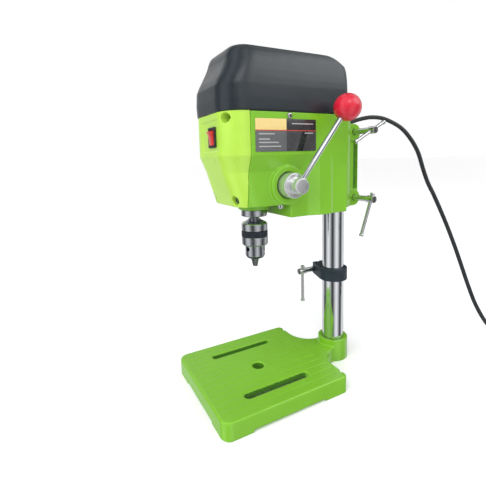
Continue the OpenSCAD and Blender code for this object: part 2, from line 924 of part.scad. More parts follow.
module spindle() color("silver")
    translate([0, spindle_y, 0])
        rotate_extrude()
            polygon([[0, 215], [6, 215], [6, 235.2], [8.4, 237.4], [8.4, 238.6], [6, 238.6],
                [6, 338], [4.5, 338], [4.5, 404], [0, 404]]);

// ======== chuck ========

// Axis line of jaw number i, tilted inwards towards the nose; children are drawn along +Z
module at_jaw(i)
    translate([0, spindle_y, 0])
        rotate([0, 0, 120 * i + 90 + chuck_turn])
            translate([jaw_axis_r, 0, jaw_low])
                rotate([0, jaw_tilt, 0])
                    children();

module chuck_body() color("silver")
    difference() {
        translate([0, spindle_y, 0])
            rotate_extrude()
                polygon([[0, 180], [8, 180], [11.2, 181.4], [nose_r, 184.5], [nose_r, flange_low],
                    [chuck_r - 0.1, flange_low], [chuck_r - 0.1, 227.2], [chuck_r - 1.2, 228.8],
                    [11.5, 231.2], [8.5, 232.8], [6.6, 234.4], [0, 234.4]]);
        translate([0, spindle_y, 214.5])
            cylinder(h = 22, r = 6 + fit_gap);
        translate([0, spindle_y, 179])
            cylinder(h = 30, r = 5.4);
        for (i = [0:2]) {
            at_jaw(i)
                translate([0, 0, -2])
                    cylinder(h = jaw_len + 12, r = jaw_r + 0.1);
            // Key hole
            translate([0, spindle_y, 194])
                rotate([0, 0, 120 * i + 30 + chuck_turn])
                    rotate([0, 90, 0])
                        translate([0, 0, 7.6])
                            cylinder(h = 12, r = 3.1);
        }
    }

module chuck_sleeve() color("#3b4148")
    difference() {
        translate([0, spindle_y, 0])
            rotate_extrude()
                polygon([[nose_r + 0.2, 198.5], [chuck_r - 1.8, 198.5], [chuck_r + 0.1, 200.4],
                    [chuck_r + 0.1, 210], [chuck_r, 210.4], [chuck_r, sleeve_top], [16.05, sleeve_top],
                    [16.05, 200.7], [nose_r + 0.2, 200.7]]);
        // Bevel teeth for the key
        for (a = [0:12:348])
            translate([0, spindle_y, 0])
                rotate([0, 0, a])
                    translate([nose_r - 1, -0.7, 197.5])
                        cube([2.9, 1.4, 2.4]);
    }

module chuck_nut() color("gray")
    translate([0, spindle_y, 0])
        rotate_extrude()
            polygon([[13.5, 201.2], [16, 201.2], [16, 212], [15.2, 212], [13.8, 207], [13.5, 205.8]]);

module chuck_jaw(i) color("#8b8f94")
    intersection() {
        at_jaw(i)
            translate([0, 0, -4])
                cylinder(h = jaw_len + 4, r = jaw_r);
        // Each jaw keeps to its own third, with a round groove that grips the drill
        translate([0, spindle_y, jaw_low])
            rotate([0, 0, 120 * i + 90 + chuck_turn])
                difference() {
                    linear_extrude(jaw_len)
                        polygon([[0.3, 0], [12, 20.3], [24, 20.3], [24, -20.3], [12, -20.3]]);
                    translate([0, 0, -1])
                        cylinder(h = jaw_len + 2, r = 1.5);
                }
    }

module chuck_jaw_1() chuck_jaw(0);
module chuck_jaw_2() chuck_jaw(1);
module chuck_jaw_3() chuck_jaw(2);

// ======== feed ========

module pinion_shaft() color("silver") {
    bar_x(-boss_face_x - 9, -16, pinion_y, pinion_z, 5);
    bar_x(-17, 17, pinion_y, pinion_z, 5.2);
    bar_x(16, 58, pinion_y, pinion_z, 5);
    translate([-8, pinion_y, pinion_z])
        rotate([90, 0, 90])
            linear_extrude(16)
                union() {
                    circle(r = pinion_pitch_r - 1.05);
                    for (i = [0:pinion_teeth - 1])
                        rotate(i * 360 / pinion_teeth + 180)
                            polygon([[5, 0.95], [5.35, 0.85], [6.4, 0.5], [7.05, 0.26],
                                [7.05, -0.26], [6.4, -0.5], [5.35, -0.85], [5, -0.95]]);
                }
}

module pinion_bushes() color("#b08d3c")
    for (x = [-32, 20])
        difference() {
            bar_x(x, x + 14, pinion_y, pinion_z, 7.95);
            bar_x(x - 1, x + 15, pinion_y, pinion_z, 5 + fit_gap);
        }

module feed_hub() color("silver")
    difference() {
        union() {
            bar_x(41.5, 64.5, pinion_y, pinion_z, 15.4);
            bar_x(64, 66, pinion_y, pinion_z, 14.4);
            bar_x(65, 78.5, pinion_y, pinion_z, 9.8);
            bar_x(78, 80, pinion_y, pinion_z, 8.8);
        }
        bar_x(40, 60, pinion_y, pinion_z, 5.02);
        at_lever()
            cylinder(h = 30, r = 3.22);
    }

// Frame of the lever: origin on the hub's axis, +Z towards the knob
lever_v = knob_c - [lever_x, pinion_y, pinion_z];
lever_len = norm(lever_v);

module at_lever()
    translate([lever_x, pinion_y, pinion_z])
        rotate([0, 0, atan2(lever_v[1], lever_v[0])])
            rotate([0, atan2(norm([lever_v[0], lever_v[1]]), lever_v[2]), 0])
                children();

module feed_lever() color("silver")
    at_lever()
        translate([0, 0, 3])
            cylinder(h = lever_len - 8.1, r = 3.2);

module lever_knob() color("crimson")
    at_lever()
        difference() {
            translate([0, 0, lever_len])
                sphere(d = knob_d);
            translate([0, 0, lever_len - 30])
                cylinder(h = 25, r = 3.22);
            translate([0, 0, lever_len - knob_d / 2 - 9])
                cylinder(h = 10, r = 8);
        }

spring_turns = 4;
spring_pts = 24 * spring_turns;
function spiral(i, out) = let (r = 7.4 + 7 * i / spring_pts + out, a = 15 * i) [r * cos(a), r * sin(a)];

module return_spring() color("#4d5a6a")
    translate([-boss_face_x - 8, pinion_y, pinion_z])
        rotate([90, 0, 90])
            linear_extrude(5)
                polygon(concat([for (i = [0:spring_pts]) spiral(i, 0)],
                    [for (i = [spring_pts:-1:0]) spiral(i, 0.5)]));

module spring_cap() color("#2b2f33")
    difference() {
        bar_x(-boss_face_x - 11.5, -boss_face_x, pinion_y, pinion_z, 18);
        bar_x(-boss_face_x - 10, -boss_face_x + 1, pinion_y, pinion_z, 16);
    }

// ======== cord ========

module cord_grip() color("#1b1d1f")
    difference() {
        union() {
            bar_y(head_rear - 7, head_rear + 2, grip_x, grip_z, 5);
            bar_y(head_rear, head_rear + 3, grip_x, grip_z, 8);
            translate([grip_x, head_rear + 2.9, grip_z])
                rotate([-90, 0, 0])
                    cylinder(h = 30, r1 = 5.6, r2 = 4.1);
        }
        bar_y(head_rear - 8, head_rear - 1, grip_x, grip_z, 3.3);
    }

module power_cord() color("#15181a") {
    sweep_tube(cord_route, cord_d / 2, 8, 2);
    sweep_tube(plug_route, cord_d / 2, 8, 2);
}

// Two layers of turns, a wide ring
module cord_coil() color("#15181a")
    translate([coil_c[0], coil_c[1], 0])
        rotate_extrude()
            translate([coil_inner_r - cord_d / 2, 0.05])
                round_rect(0, 0, coil_outer_r - coil_inner_r + cord_d, 2 * cord_d + 0.15, 3);

module cord_tie() color("#303336")
    translate([coil_c[0] - (coil_inner_r + coil_outer_r) / 2, coil_c[1], 0])
        difference() {
            translate([-12, -3, 0.05])
                cube([24, 6, 15]);
            translate([-10.6, -4, -1])
                cube([21.2, 8, 14.4]);
        }

plug_start = plug_route[len(plug_route) - 1];
plug_l = 32;

module plug_body() color("#15181a")
    translate(plug_start)
        rotate([90, 0, 0]) {
            hull() {
                translate([0, 0, 12])
                    linear_extrude(1)
                        round_rect(-9, -6.5, 9, 6.5, 5, $fn = 32);
                translate([0, 0, plug_l - 3])
                    linear_extrude(3)
                        round_rect(-12, -6.8, 12, 6.8, 5.5, $fn = 32);
            }
            cylinder(h = 13, r1 = 4.4, r2 = 6);
        }

module plug_pins() color("silver")
    for (s = [-1, 1])
        bar_y(plug_start[1] - plug_l - 19, plug_start[1] - plug_l, plug_start[0] + s * 8.6,
            plug_start[2], 2);

base_casting();
column_tube();
column_set_screw();
stop_collar();
collar_screw();
collar_bar();
head_casting();
front_cover();
front_cover_screws();
belt_cover();
belt_cover_screws();
nameplate();
switch_body();
switch_rocker();
upper_clamp_screw();
upper_clamp_bar();
lower_clamp_screw();
lower_clamp_bar();
motor_can();
motor_end_bell();
motor_magnets();
motor_armature();
motor_shaft();
motor_commutator();
motor_brushes();
motor_fan();
motor_bearings();
motor_screws();
motor_pulley();
drive_belt();
spindle_pulley();
pulley_sleeve();
pulley_bearings();
quill();
quill_nut();
quill_bearings();
spindle();
chuck_body();
chuck_sleeve();
chuck_nut();
chuck_jaw_1();
chuck_jaw_2();
chuck_jaw_3();
pinion_shaft();
pinion_bushes();
feed_hub();
feed_lever();
lever_knob();
return_spring();
spring_cap();
quill_guide_screw();
cord_grip();
power_cord();
cord_coil();
cord_tie();
plug_body();
plug_pins();
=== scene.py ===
import json
import math

import bmesh
import bpy
import numpy as np
from mathutils import Matrix, Vector
from mathutils.bvhtree import BVHTree


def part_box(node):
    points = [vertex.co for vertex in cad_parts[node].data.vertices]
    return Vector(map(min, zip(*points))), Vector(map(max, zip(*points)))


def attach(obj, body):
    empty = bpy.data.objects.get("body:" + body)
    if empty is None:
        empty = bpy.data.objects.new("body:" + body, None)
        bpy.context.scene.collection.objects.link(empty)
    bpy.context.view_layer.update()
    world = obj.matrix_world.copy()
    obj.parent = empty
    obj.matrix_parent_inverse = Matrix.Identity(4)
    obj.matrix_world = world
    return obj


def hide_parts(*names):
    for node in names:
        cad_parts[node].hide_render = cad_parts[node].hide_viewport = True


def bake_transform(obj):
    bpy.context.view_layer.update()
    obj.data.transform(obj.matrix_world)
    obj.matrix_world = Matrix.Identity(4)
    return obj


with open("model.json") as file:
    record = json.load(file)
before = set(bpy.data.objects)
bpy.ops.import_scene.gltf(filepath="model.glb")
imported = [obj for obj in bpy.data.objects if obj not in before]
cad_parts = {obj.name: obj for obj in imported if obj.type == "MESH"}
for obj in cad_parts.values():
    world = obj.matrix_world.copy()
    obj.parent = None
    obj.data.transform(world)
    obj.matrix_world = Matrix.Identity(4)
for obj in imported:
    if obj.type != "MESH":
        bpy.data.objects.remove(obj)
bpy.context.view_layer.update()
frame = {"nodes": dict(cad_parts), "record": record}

# Shapes are in millimetres in the row frame, and are scaled to metres once. Lights stand in metres.
MM = 0.001
RECORD = frame["record"]
BODY = {n: b for b, nodes in RECORD["behaviour"]["bodies"].items() for n in nodes}
SLOT = {s["node"]: s["material_slot"] for s in RECORD["subparts"]}
SLOTS = [o["box_m"] for o in RECORD["physics"]["openings"] if o["name"].endswith("_slot")]


class Span:
    """A CAD node's box in millimetres."""

    def __init__(self, node):
        lo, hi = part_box(node)
        self.lo, self.hi = lo / MM, hi / MM
        self.mid = (self.lo + self.hi) / 2
        self.size = self.hi - self.lo


# ---------------------------------------------------------------- camera

def make_camera():
    """The camera stands to the front right at the head's height, looks slightly down and rolls a little."""
    yaw, pitch, roll = math.radians(62.51), math.radians(7.65), math.radians(-1.78)
    ahead = Vector((-math.sin(yaw) * math.cos(pitch), math.cos(yaw) * math.cos(pitch), -math.sin(pitch)))
    level = Vector((math.cos(yaw), math.sin(yaw), 0))
    up = level.cross(ahead)
    right = math.cos(roll) * level + math.sin(roll) * up
    up = -math.sin(roll) * level + math.cos(roll) * up
    data = bpy.data.cameras.new("camera")
    data.sensor_width = 36
    data.lens = 25.19
    data.shift_y = -0.0843
    data.clip_start = 0.01
    cam = bpy.data.objects.new("camera", data)
    bpy.context.scene.collection.objects.link(cam)
    cam.matrix_world = Matrix.Translation(Vector((402.16, -362.63, 310.36)) * MM) @ Matrix(
        (right, up, -ahead)).transposed().to_4x4()
    bpy.context.scene.camera = cam


make_camera()

# ---------------------------------------------------------------- mesh helpers


def add_mesh(name, verts, faces):
    """A new object from points in millimetres."""
    me = bpy.data.meshes.new(name)
    me.from_pydata([Vector(v) * MM for v in verts], [], faces)
    me.validate()
    bm = bmesh.new()
    bm.from_mesh(me)
    bmesh.ops.recalc_face_normals(bm, faces=bm.faces)
    bm.to_mesh(me)
    bm.free()
    me.polygons.foreach_set("use_smooth", [True] * len(me.polygons))
    o = bpy.data.objects.new(name, me)
    bpy.context.scene.collection.objects.link(o)
    return o


def modify(o, kind, **settings):
    m = o.modifiers.new(kind.lower(), kind)
    for key, value in settings.items():
        setattr(m, key, value)
    return m


def bake_modifiers(o):
    """Replaces the object's mesh by what its modifiers make of it."""
    bpy.context.view_layer.update()
    made = bpy.data.meshes.new_from_object(o.evaluated_get(bpy.context.evaluated_depsgraph_get()))
    o.modifiers.clear()
    o.data = made
    return o


def even_shading(o, angle=35):
    """Smooth shading that keeps edges sharper than the angle, and flats flat."""
    o.data.polygons.foreach_set("use_smooth", [True] * len(o.data.polygons))
    o.data.update()
    bm = bmesh.new()
    bm.from_mesh(o.data)
    limit = math.radians(angle)
    for e in bm.edges:
        e.smooth = len(e.link_faces) == 2 and e.calc_face_angle(0) < limit
    bm.to_mesh(o.data)
    bm.free()
    return o


def rounded(profile, radius, steps=4, closed=False):
    """A polyline with its corners rounded by at most the radius."""
    out, n = [], len(profile)
    for i, p in enumerate(profile):
        if not closed and i in (0, n - 1):
            out.append(tuple(p))
            continue
        p = Vector(p)
        a, b = Vector(profile[i - 1]) - p, Vector(profile[(i + 1) % n]) - p
        r = min(radius, 0.45 * a.length, 0.45 * b.length)
        start, end = p + a.normalized() * r, p + b.normalized() * r
        for k in range(steps + 1):
            t = k / steps
            out.append(tuple((1 - t) ** 2 * start + 2 * t * (1 - t) * p + t * t * end))
    return out


def lathe(name, profile, place, seg=96, closed=False, shape=None):
    """Turns a profile of (radius, height) about the local Z axis of the placing matrix.
    shape(angle, radius, height) may change a point's radius and height."""
    verts, rings = [], []
    for r, h in profile:
        if r < 1e-6:
            rings.append([len(verts)] * seg)
            verts.append(place @ Vector((0, 0, h)))
            continue
        rings.append(list(range(len(verts), len(verts) + seg)))
        for k in range(seg):
            a = 2 * math.pi * k / seg
            rr, hh = shape(a, r, h) if shape else (r, h)
            verts.append(place @ Vector((rr * math.cos(a), rr * math.sin(a), hh)))
    faces = []
    pairs = list(zip(rings, rings[1:])) + ([(rings[-1], rings[0])] if closed else [])
    for a, b in pairs:
        for k in range(seg):
            j = (k + 1) % seg
            quad = [a[k], a[j], b[j], b[k]]
            quad = [v for i, v in enumerate(quad) if v not in quad[:i]]
            if len(quad) > 2:
                faces.append(quad)
    return even_shading(add_mesh(name, verts, faces), 50)


def along_z(x, y):
    return Matrix.Translation((x, y, 0))


def along_x(y, z, x=0):
    return Matrix.Translation((x, y, z)) @ Matrix.Rotation(math.pi / 2, 4, "Y")


def along_y(x, z):
    return Matrix.Translation((x, 0, z)) @ Matrix.Rotation(-math.pi / 2, 4, "X")


def towards(start, end):
    """Local Z runs from start towards end."""
    start, end = Vector(start), Vector(end)
    return Matrix.Translation(start) @ (end - start).to_track_quat("Z", "Y").to_matrix().to_4x4()


def rod_profile(length, r, edge):
    """A solid round bar with rounded ends."""
    return rounded([(0, 0), (r, 0), (r, length), (0, length)], edge)


def tube_points(points, r, sides):
    """Rings of points round a path, with a frame that doesn't twist."""
    pts = [Vector(p) for p in points]
    n = len(pts)
    tangents = [(pts[min(i + 1, n - 1)] - pts[max(i - 1, 0)]).normalized() for i in range(n)]
    side = tangents[0].orthogonal().normalized()
    verts = []
    for i in range(n):
        side = (side - side.dot(tangents[i]) * tangents[i]).normalized()
        other = tangents[i].cross(side)
        radius = r(i / (n - 1)) if callable(r) else r
        for k in range(sides):
            a = 2 * math.pi * k / sides
            verts.append(pts[i] + radius * (math.cos(a) * side + math.sin(a) * other))
    return verts


def tube(name, points, r, sides=16):
    n = len(points)
    verts = tube_points(points, r, sides)
    faces = [[i * sides + k, i * sides + (k + 1) % sides,
              (i + 1) * sides + (k + 1) % sides, (i + 1) * sides + k]
             for i in range(n - 1) for k in range(sides)]
    faces += [list(range(sides))[::-1], list(range((n - 1) * sides, n * sides))]
    return even_shading(add_mesh(name, verts, faces), 60)


def slab(name, lo, hi, bevel, segments=3):
    """A box with rounded edges."""
    corners = [(x, y, z) for x in (lo[0], hi[0]) for y in (lo[1], hi[1]) for z in (lo[2], hi[2])]
    faces = [(0, 1, 3, 2), (4, 6, 7, 5), (0, 4, 5, 1), (2, 3, 7, 6), (0, 2, 6, 4), (1, 5, 7, 3)]
    o = add_mesh(name, corners, faces)
    modify(o, "BEVEL", width=bevel * MM, segments=segments, limit_method="NONE")
    return even_shading(bake_modifiers(o), 40)


def plate(name, outline, place, thick, bevel):
    """An outline in the local XY plane, thickened along local Z, with rounded edges."""
    n = len(outline)
    verts = [place @ Vector((x, y, h)) for h in (0, thick) for x, y in outline]
    faces = [list(range(n))[::-1], list(range(n, 2 * n))]
    faces += [[k, (k + 1) % n, n + (k + 1) % n, n + k] for k in range(n)]
    o = add_mesh(name, verts, faces)
    if bevel:
        modify(o, "BEVEL", width=bevel * MM, segments=3, limit_method="ANGLE", angle_limit=math.radians(40))
        bake_modifiers(o)
    return even_shading(o, 35)


def round_rect(x1, y1, x2, y2, r, steps=8):
    out = []
    corners = ((x2 - r, y1 + r, -90), (x2 - r, y2 - r, 0), (x1 + r, y2 - r, 90), (x1 + r, y1 + r, 180))
    for cx, cy, start in corners:
        for k in range(steps + 1):
            a = math.radians(start + 90 * k / steps)
            out.append((cx + r * math.cos(a), cy + r * math.sin(a)))
    return out


def cut(o, cutters):
    """Cuts the cutter objects from the object, and removes them."""
    for c in cutters:
        modify(o, "BOOLEAN", operation="DIFFERENCE", object=c, solver="EXACT")
    bake_modifiers(o)
    for c in cutters:
        bpy.data.objects.remove(c)
    return even_shading(o)


def join(name, parts):
    """Joins objects into the first one."""
    first = parts[0]
    bm = bmesh.new()
    for p in parts:
        bm.from_mesh(p.data)
    me = bpy.data.meshes.new(name)
    bm.to_mesh(me)
    bm.free()
    first.data = me
    first.name = name
    for p in parts[1:]:
        bpy.data.objects.remove(p)
    return first


def relax(co, edges, rounds, strength=0.5):
    """Moves each point towards the mean of its neighbours, several times."""
    n = len(co)
    degree = np.bincount(edges.ravel(), minlength=n)[:, None]
    for _ in range(rounds):
        total = np.stack([np.bincount(edges[:, 0], co[edges[:, 1], k], n)
                          + np.bincount(edges[:, 1], co[edges[:, 0], k], n) for k in range(3)], 1)
        co = co + strength * (total / degree - co)
    return co


def cast(name, node, voxel, rounds, near=0.1, far=0.3, keep=0.3, reshape=None):
    """A casting or moulding: the CAD solid with its edges and inside corners softened.
    Where far is over 0, points near the CAD surface go back to it, so that flats and bores stay true."""
    source = frame["nodes"][node]
    o = bpy.data.objects.new(name, source.data.copy())
    bpy.context.scene.collection.objects.link(o)
    o.data.materials.clear()
    modify(o, "REMESH", mode="VOXEL", voxel_size=voxel * MM, use_smooth_shade=True)
    bake_modifiers(o)
    me = o.data
    co = np.zeros(len(me.vertices) * 3, np.float32)
    me.vertices.foreach_get("co", co)
    co = co.reshape(-1, 3).astype(float)
    edges = np.zeros(len(me.edges) * 2, np.int32)
    me.edges.foreach_get("vertices", edges)
    co = relax(co, edges.reshape(-1, 2), rounds)
    if far > 0:
        tree = BVHTree.FromPolygons([v.co for v in source.data.vertices],
                                    [p.vertices for p in source.data.polygons])
        for i, p in enumerate(co):
            at, _, _, d = tree.find_nearest(p)
            w = min(1.0, max(0.0, (far - d / MM) / (far - near)))
            co[i] = p + w * (np.array(at) - p)
    if reshape:
        co = reshape(co / MM) * MM
    me.vertices.foreach_set("co", co.astype(np.float32).ravel())
    me.update()
    if keep < 1:
        modify(o, "DECIMATE", ratio=keep)
        bake_modifiers(o)
    o.data.polygons.foreach_set("use_smooth", [True] * len(o.data.polygons))
    modify(o, "WEIGHTED_NORMAL", keep_sharp=True)
    return o


# ---------------------------------------------------------------- materials

class Finish:
    """A Principled material and short calls for its procedural nodes."""

    def __init__(self, name, rough, metal=0.0, coat=0.0, coat_rough=0.06, specular=0.5):
        self.mat = bpy.data.materials.new(name)
        self.mat.use_nodes = True
        self.tree = self.mat.node_tree
        self.bsdf = self.tree.nodes["Principled BSDF"]
        for key, value in (("Metallic", metal), ("Roughness", rough), ("Coat Weight", coat),
                           ("Coat Roughness", coat_rough), ("Specular IOR Level", specular)):
            self.bsdf.inputs[key].default_value = value
        self.place = self.node("ShaderNodeTexCoord").outputs["Object"]

    def node(self, kind, **settings):
        n = self.tree.nodes.new(kind)
        for key, value in settings.items():
            setattr(n, key, value)
        return n

    def put(self, socket, value):
        if isinstance(value, bpy.types.NodeSocket):
            self.tree.links.new(value, socket)
        else:
            socket.default_value = value

    def math(self, operation, a, b=0.0):
        n = self.node("ShaderNodeMath", operation=operation)
        self.put(n.inputs[0], a)
        self.put(n.inputs[1], b)
        return n.outputs[0]

    def noise(self, scale, detail=3.0, stretch=None, rough=0.5):
        where = self.place
        if stretch:
            m = self.node("ShaderNodeMapping")
            self.put(m.inputs["Vector"], where)
            m.inputs["Scale"].default_value = stretch
            where = m.outputs[0]
        n = self.node("ShaderNodeTexNoise")
        self.put(n.inputs["Vector"], where)
        for key, value in (("Scale", scale), ("Detail", detail), ("Roughness", rough)):
            n.inputs[key].default_value = value
        return n.outputs["Fac"]

    def remap(self, value, low, high, to_low=0.0, to_high=1.0):
        n = self.node("ShaderNodeMapRange", clamp=True)
        for i, v in enumerate((value, low, high, to_low, to_high)):
            self.put(n.inputs[i], v)
        return n.outputs[0]

    def mix(self, factor, a, b):
        n = self.node("ShaderNodeMix", data_type="RGBA")
        self.put(n.inputs[0], factor)
        self.put(n.inputs[6], a if isinstance(a, bpy.types.NodeSocket) else (*a, 1))
        self.put(n.inputs[7], b if isinstance(b, bpy.types.NodeSocket) else (*b, 1))
        return n.outputs[2]

    def edges(self, radius, low, high):
        """1 on sharp edges, 0 on flats."""
        bevel = self.node("ShaderNodeBevel", samples=4)
        bevel.inputs["Radius"].default_value = radius * MM
        flat = self.node("ShaderNodeNewGeometry").outputs["Normal"]
        dot = self.node("ShaderNodeVectorMath", operation="DOT_PRODUCT")
        self.put(dot.inputs[0], bevel.outputs[0])
        self.put(dot.inputs[1], flat)
        return self.remap(self.math("SUBTRACT", 1.0, dot.outputs["Value"]), low, high)

    def color(self, value):
        self.put(self.bsdf.inputs["Base Color"], value)

    def bump(self, height, distance, strength=1.0):
        n = self.node("ShaderNodeBump")
        n.inputs["Distance"].default_value = distance * MM
        n.inputs["Strength"].default_value = strength
        self.put(n.inputs["Height"], height)
        self.put(self.bsdf.inputs["Normal"], n.outputs[0])


def scaled(color, k):
    return tuple(min(1.0, c * k) for c in color)


def surface(name, color, rough, patch=30, vary=0.12, spread=0.06, grain=700, depth=0.05, stretch=None,
            worn=None, edge=0.8, **base):
    """A finish with large and small colour variation, uneven roughness and a fine grain.
    patch and grain are noise scales per metre, depth is the grain's height in millimetres."""
    f = Finish(name, rough, **base)
    broad = f.remap(f.noise(patch, 4), 0.3, 0.7)
    fine = f.noise(grain, 3, stretch)
    tone = f.mix(broad, scaled(color, 1 - vary), scaled(color, 1 + vary))
    tone = f.mix(f.remap(fine, 0.35, 0.75, 0.0, 0.5), tone, scaled(color, 1 - vary * 0.8))
    uneven = f.remap(f.noise(patch * 4, 5, stretch), 0.25, 0.75, max(0.02, rough - spread), rough + spread)
    if worn:
        mask = f.math("MULTIPLY", f.edges(edge, 0.02, 0.2), f.remap(f.noise(180, 6), 0.5, 0.62))
        tone = f.mix(mask, tone, worn)
        uneven = f.math("ADD", uneven, f.math("MULTIPLY", mask, 0.12))
    f.color(tone)
    f.put(f.bsdf.inputs["Roughness"], uneven)
    f.bump(fine, depth)
    return f.mat


GREEN = (0.165, 0.415, 0.016)
M = {
    "green": surface("green_enamel", GREEN, 0.32, patch=22, vary=0.05, grain=420, depth=0.06, coat=0.35,
                     coat_rough=0.16, worn=(0.30, 0.56, 0.10), edge=0.7),
    # Painted shade: a darker green that stands for the shade on the walls of holes, slots and recesses
    "green_painted_shade": surface("green_enamel_painted_shade", (0.055, 0.190, 0.010), 0.5, patch=22, vary=0.1,
                          grain=420, depth=0.06),
    "green_front": surface("green_front_enamel", (0.36, 0.60, 0.055), 0.32, patch=22, vary=0.05, grain=520,
                           depth=0.04, coat=0.4, coat_rough=0.14, worn=(0.44, 0.68, 0.16), edge=0.6),
    "cover": surface("black_moulding", (0.013, 0.019, 0.024), 0.34, patch=26, vary=0.14, grain=1500,
                     depth=0.02, spread=0.04, coat=0.1, coat_rough=0.3, worn=(0.09, 0.10, 0.11), edge=0.6),
    "chrome": surface("chrome_plate", (0.76, 0.79, 0.83), 0.08, patch=45, vary=0.03, spread=0.035, grain=900,
                      depth=0.004, metal=1.0),
    "zinc": surface("plated_steel", (0.70, 0.71, 0.72), 0.20, patch=60, vary=0.06, spread=0.06, grain=1400,
                    depth=0.01, metal=1.0, worn=(0.9, 0.9, 0.9), edge=0.3),
    "steel": surface("ground_steel", (0.50, 0.52, 0.55), 0.22, patch=70, vary=0.08, spread=0.08, grain=500,
                     depth=0.01, metal=1.0, stretch=(1, 1, 14), worn=(0.85, 0.86, 0.87), edge=0.3),
    # Blued steel for the sleeve's dark band, and painted shade in the chuck's key holes, on faces that look
    # down and behind the teeth
    "blued": surface("blued_steel_and_painted_shade", (0.030, 0.038, 0.050), 0.30, patch=60, vary=0.2, spread=0.08, grain=600,
                     depth=0.01, metal=0.6, stretch=(1, 1, 10), worn=(0.35, 0.37, 0.4), edge=0.3),
    "dark_steel": surface("dark_steel", (0.20, 0.215, 0.23), 0.34, patch=80, vary=0.2, grain=900, depth=0.02,
                          metal=0.9, worn=(0.5, 0.5, 0.52), edge=0.25),
    "alloy": surface("satin_aluminium", (0.80, 0.81, 0.825), 0.32, patch=60, vary=0.05, spread=0.08,
                     grain=700, depth=0.015, metal=0.88, stretch=(12, 1, 1), worn=(0.92, 0.92, 0.93),
                     edge=0.4),
    "iron": surface("black_coated_iron", (0.016, 0.027, 0.037), 0.50, patch=90, vary=0.2, spread=0.08,
                    grain=900, depth=0.10, specular=0.35, worn=(0.10, 0.11, 0.12), edge=0.6),
    "knob": surface("red_ball_resin", (0.54, 0.010, 0.032), 0.30, patch=40, vary=0.10, spread=0.04, grain=500,
                    depth=0.01, coat=0.35, coat_rough=0.18),
    "rocker": surface("red_rocker_resin", (0.50, 0.020, 0.012), 0.26, patch=90, vary=0.1, grain=1200,
                      depth=0.01, coat=0.3),
    "black": surface("black_resin", (0.018, 0.019, 0.021), 0.42, patch=90, vary=0.2, grain=1600, depth=0.02,
                     worn=(0.07, 0.07, 0.075), edge=0.4),
    "rubber": surface("cord_sheath", (0.014, 0.017, 0.020), 0.46, patch=60, vary=0.2, spread=0.07, grain=1300,
                      depth=0.03),
    "tie": surface("tie_strap", (0.030, 0.031, 0.034), 0.5, patch=120, vary=0.2, grain=1800, depth=0.03),
    "magnet": surface("sintered_magnet", (0.06, 0.06, 0.065), 0.6, patch=90, vary=0.2, grain=1200,
                      depth=0.05),
    "copper": surface("wound_copper", (0.55, 0.22, 0.09), 0.32, patch=90, vary=0.15, grain=900, depth=0.05,
                      metal=0.9, stretch=(1, 1, 20)),
    "bronze": surface("sintered_bronze", (0.45, 0.28, 0.09), 0.42, patch=100, vary=0.12, grain=1600,
                      depth=0.02, metal=1.0),
    "carbon": surface("pressed_carbon", (0.02, 0.02, 0.02), 0.6, patch=150, vary=0.3, grain=2000, depth=0.03),
    "cream": surface("cream_moulding", (0.66, 0.62, 0.48), 0.45, patch=60, vary=0.06, grain=1500, depth=0.02),
    "nickel": surface("nickel_pins", (0.72, 0.68, 0.55), 0.18, patch=120, vary=0.05, grain=1800, depth=0.005,
                      metal=1.0),
}
BY_SLOT = {"green_casting": "green", "green_front": "green_front", "black_cover": "cover", "chrome": "chrome",
           "steel": "steel", "dark_steel": "dark_steel", "black_iron": "iron", "cast_alloy": "alloy",
           "red_ball": "knob", "red_rocker": "rocker", "black_plastic": "black", "label": "black",
           "magnet": "magnet", "copper": "copper", "bronze": "bronze", "carbon": "carbon",
           "fan_plastic": "cream", "belt_rubber": "rubber", "cord_rubber": "rubber", "tie": "tie",
           "pin_metal": "nickel"}


def finish_with(o, *names):
    o.data.materials.clear()
    for n in names:
        o.data.materials.append(M[n] if isinstance(n, str) else n)
    return o


def stand_for(piece, material, node, *others):
    """The piece replaces these CAD nodes, moves with them and takes their slot."""
    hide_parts(node, *others)
    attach(piece, BODY[node])
    return finish_with(piece, material)


def belongs(piece, material, node):
    """A detail that moves with a CAD node and shares its slot, and replaces nothing."""
    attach(piece, BODY[node])
    return finish_with(piece, material)


# ---------------------------------------------------------------- power cord

CORD_D = 6.5
COIL_MID = (166, 226)
COIL_OUTER, COIL_INNER = 42, 28
CORD_ROUTE = [(-36, 11, 350), (-36, 15, 350), (-36, 20, 350.2), (-36, 30, 353.6), (-34, 46, 360.6),
              (-29, 67, 368), (-22, 83, 372.5), (-15, 98, 374), (-6, 115, 370.5), (5, 138, 357),
              (12, 154, 339), (17, 168, 316), (20, 178, 289), (23, 187, 266), (28, 198, 243),
              (34, 210, 215), (41, 222, 183), (48, 233, 150), (55, 243, 116), (63, 251.5, 82),
              (73, 258.5, 50), (88, 264, 23), (107, 267, 8.5), (127, 268, 3.8), (146, 268, 3.3),
              (166, 268, 3.3)]
PLUG_ROUTE = [(208, 226, 9.9), (208, 214, 9.7), (207, 203, 8.2), (205, 192, 6.4), (202, 182, 6.8),
              (201.5, 175, 7), (201.5, 171, 7)]


def smooth_path(points, steps):
    """A Catmull-Rom curve through the points."""
    p = [Vector(q) for q in points]
    last = len(p) - 1
    out = []
    for i in range(last):
        a, b, c, d = p[max(i - 1, 0)], p[i], p[i + 1], p[min(i + 2, last)]
        for k in range(steps):
            t = k / steps
            out.append(0.5 * (2 * b + (c - a) * t + (2 * a - 5 * b + 4 * c - d) * t * t
                              + (3 * b - a - 3 * c + d) * t ** 3))
    return out + [p[-1]]


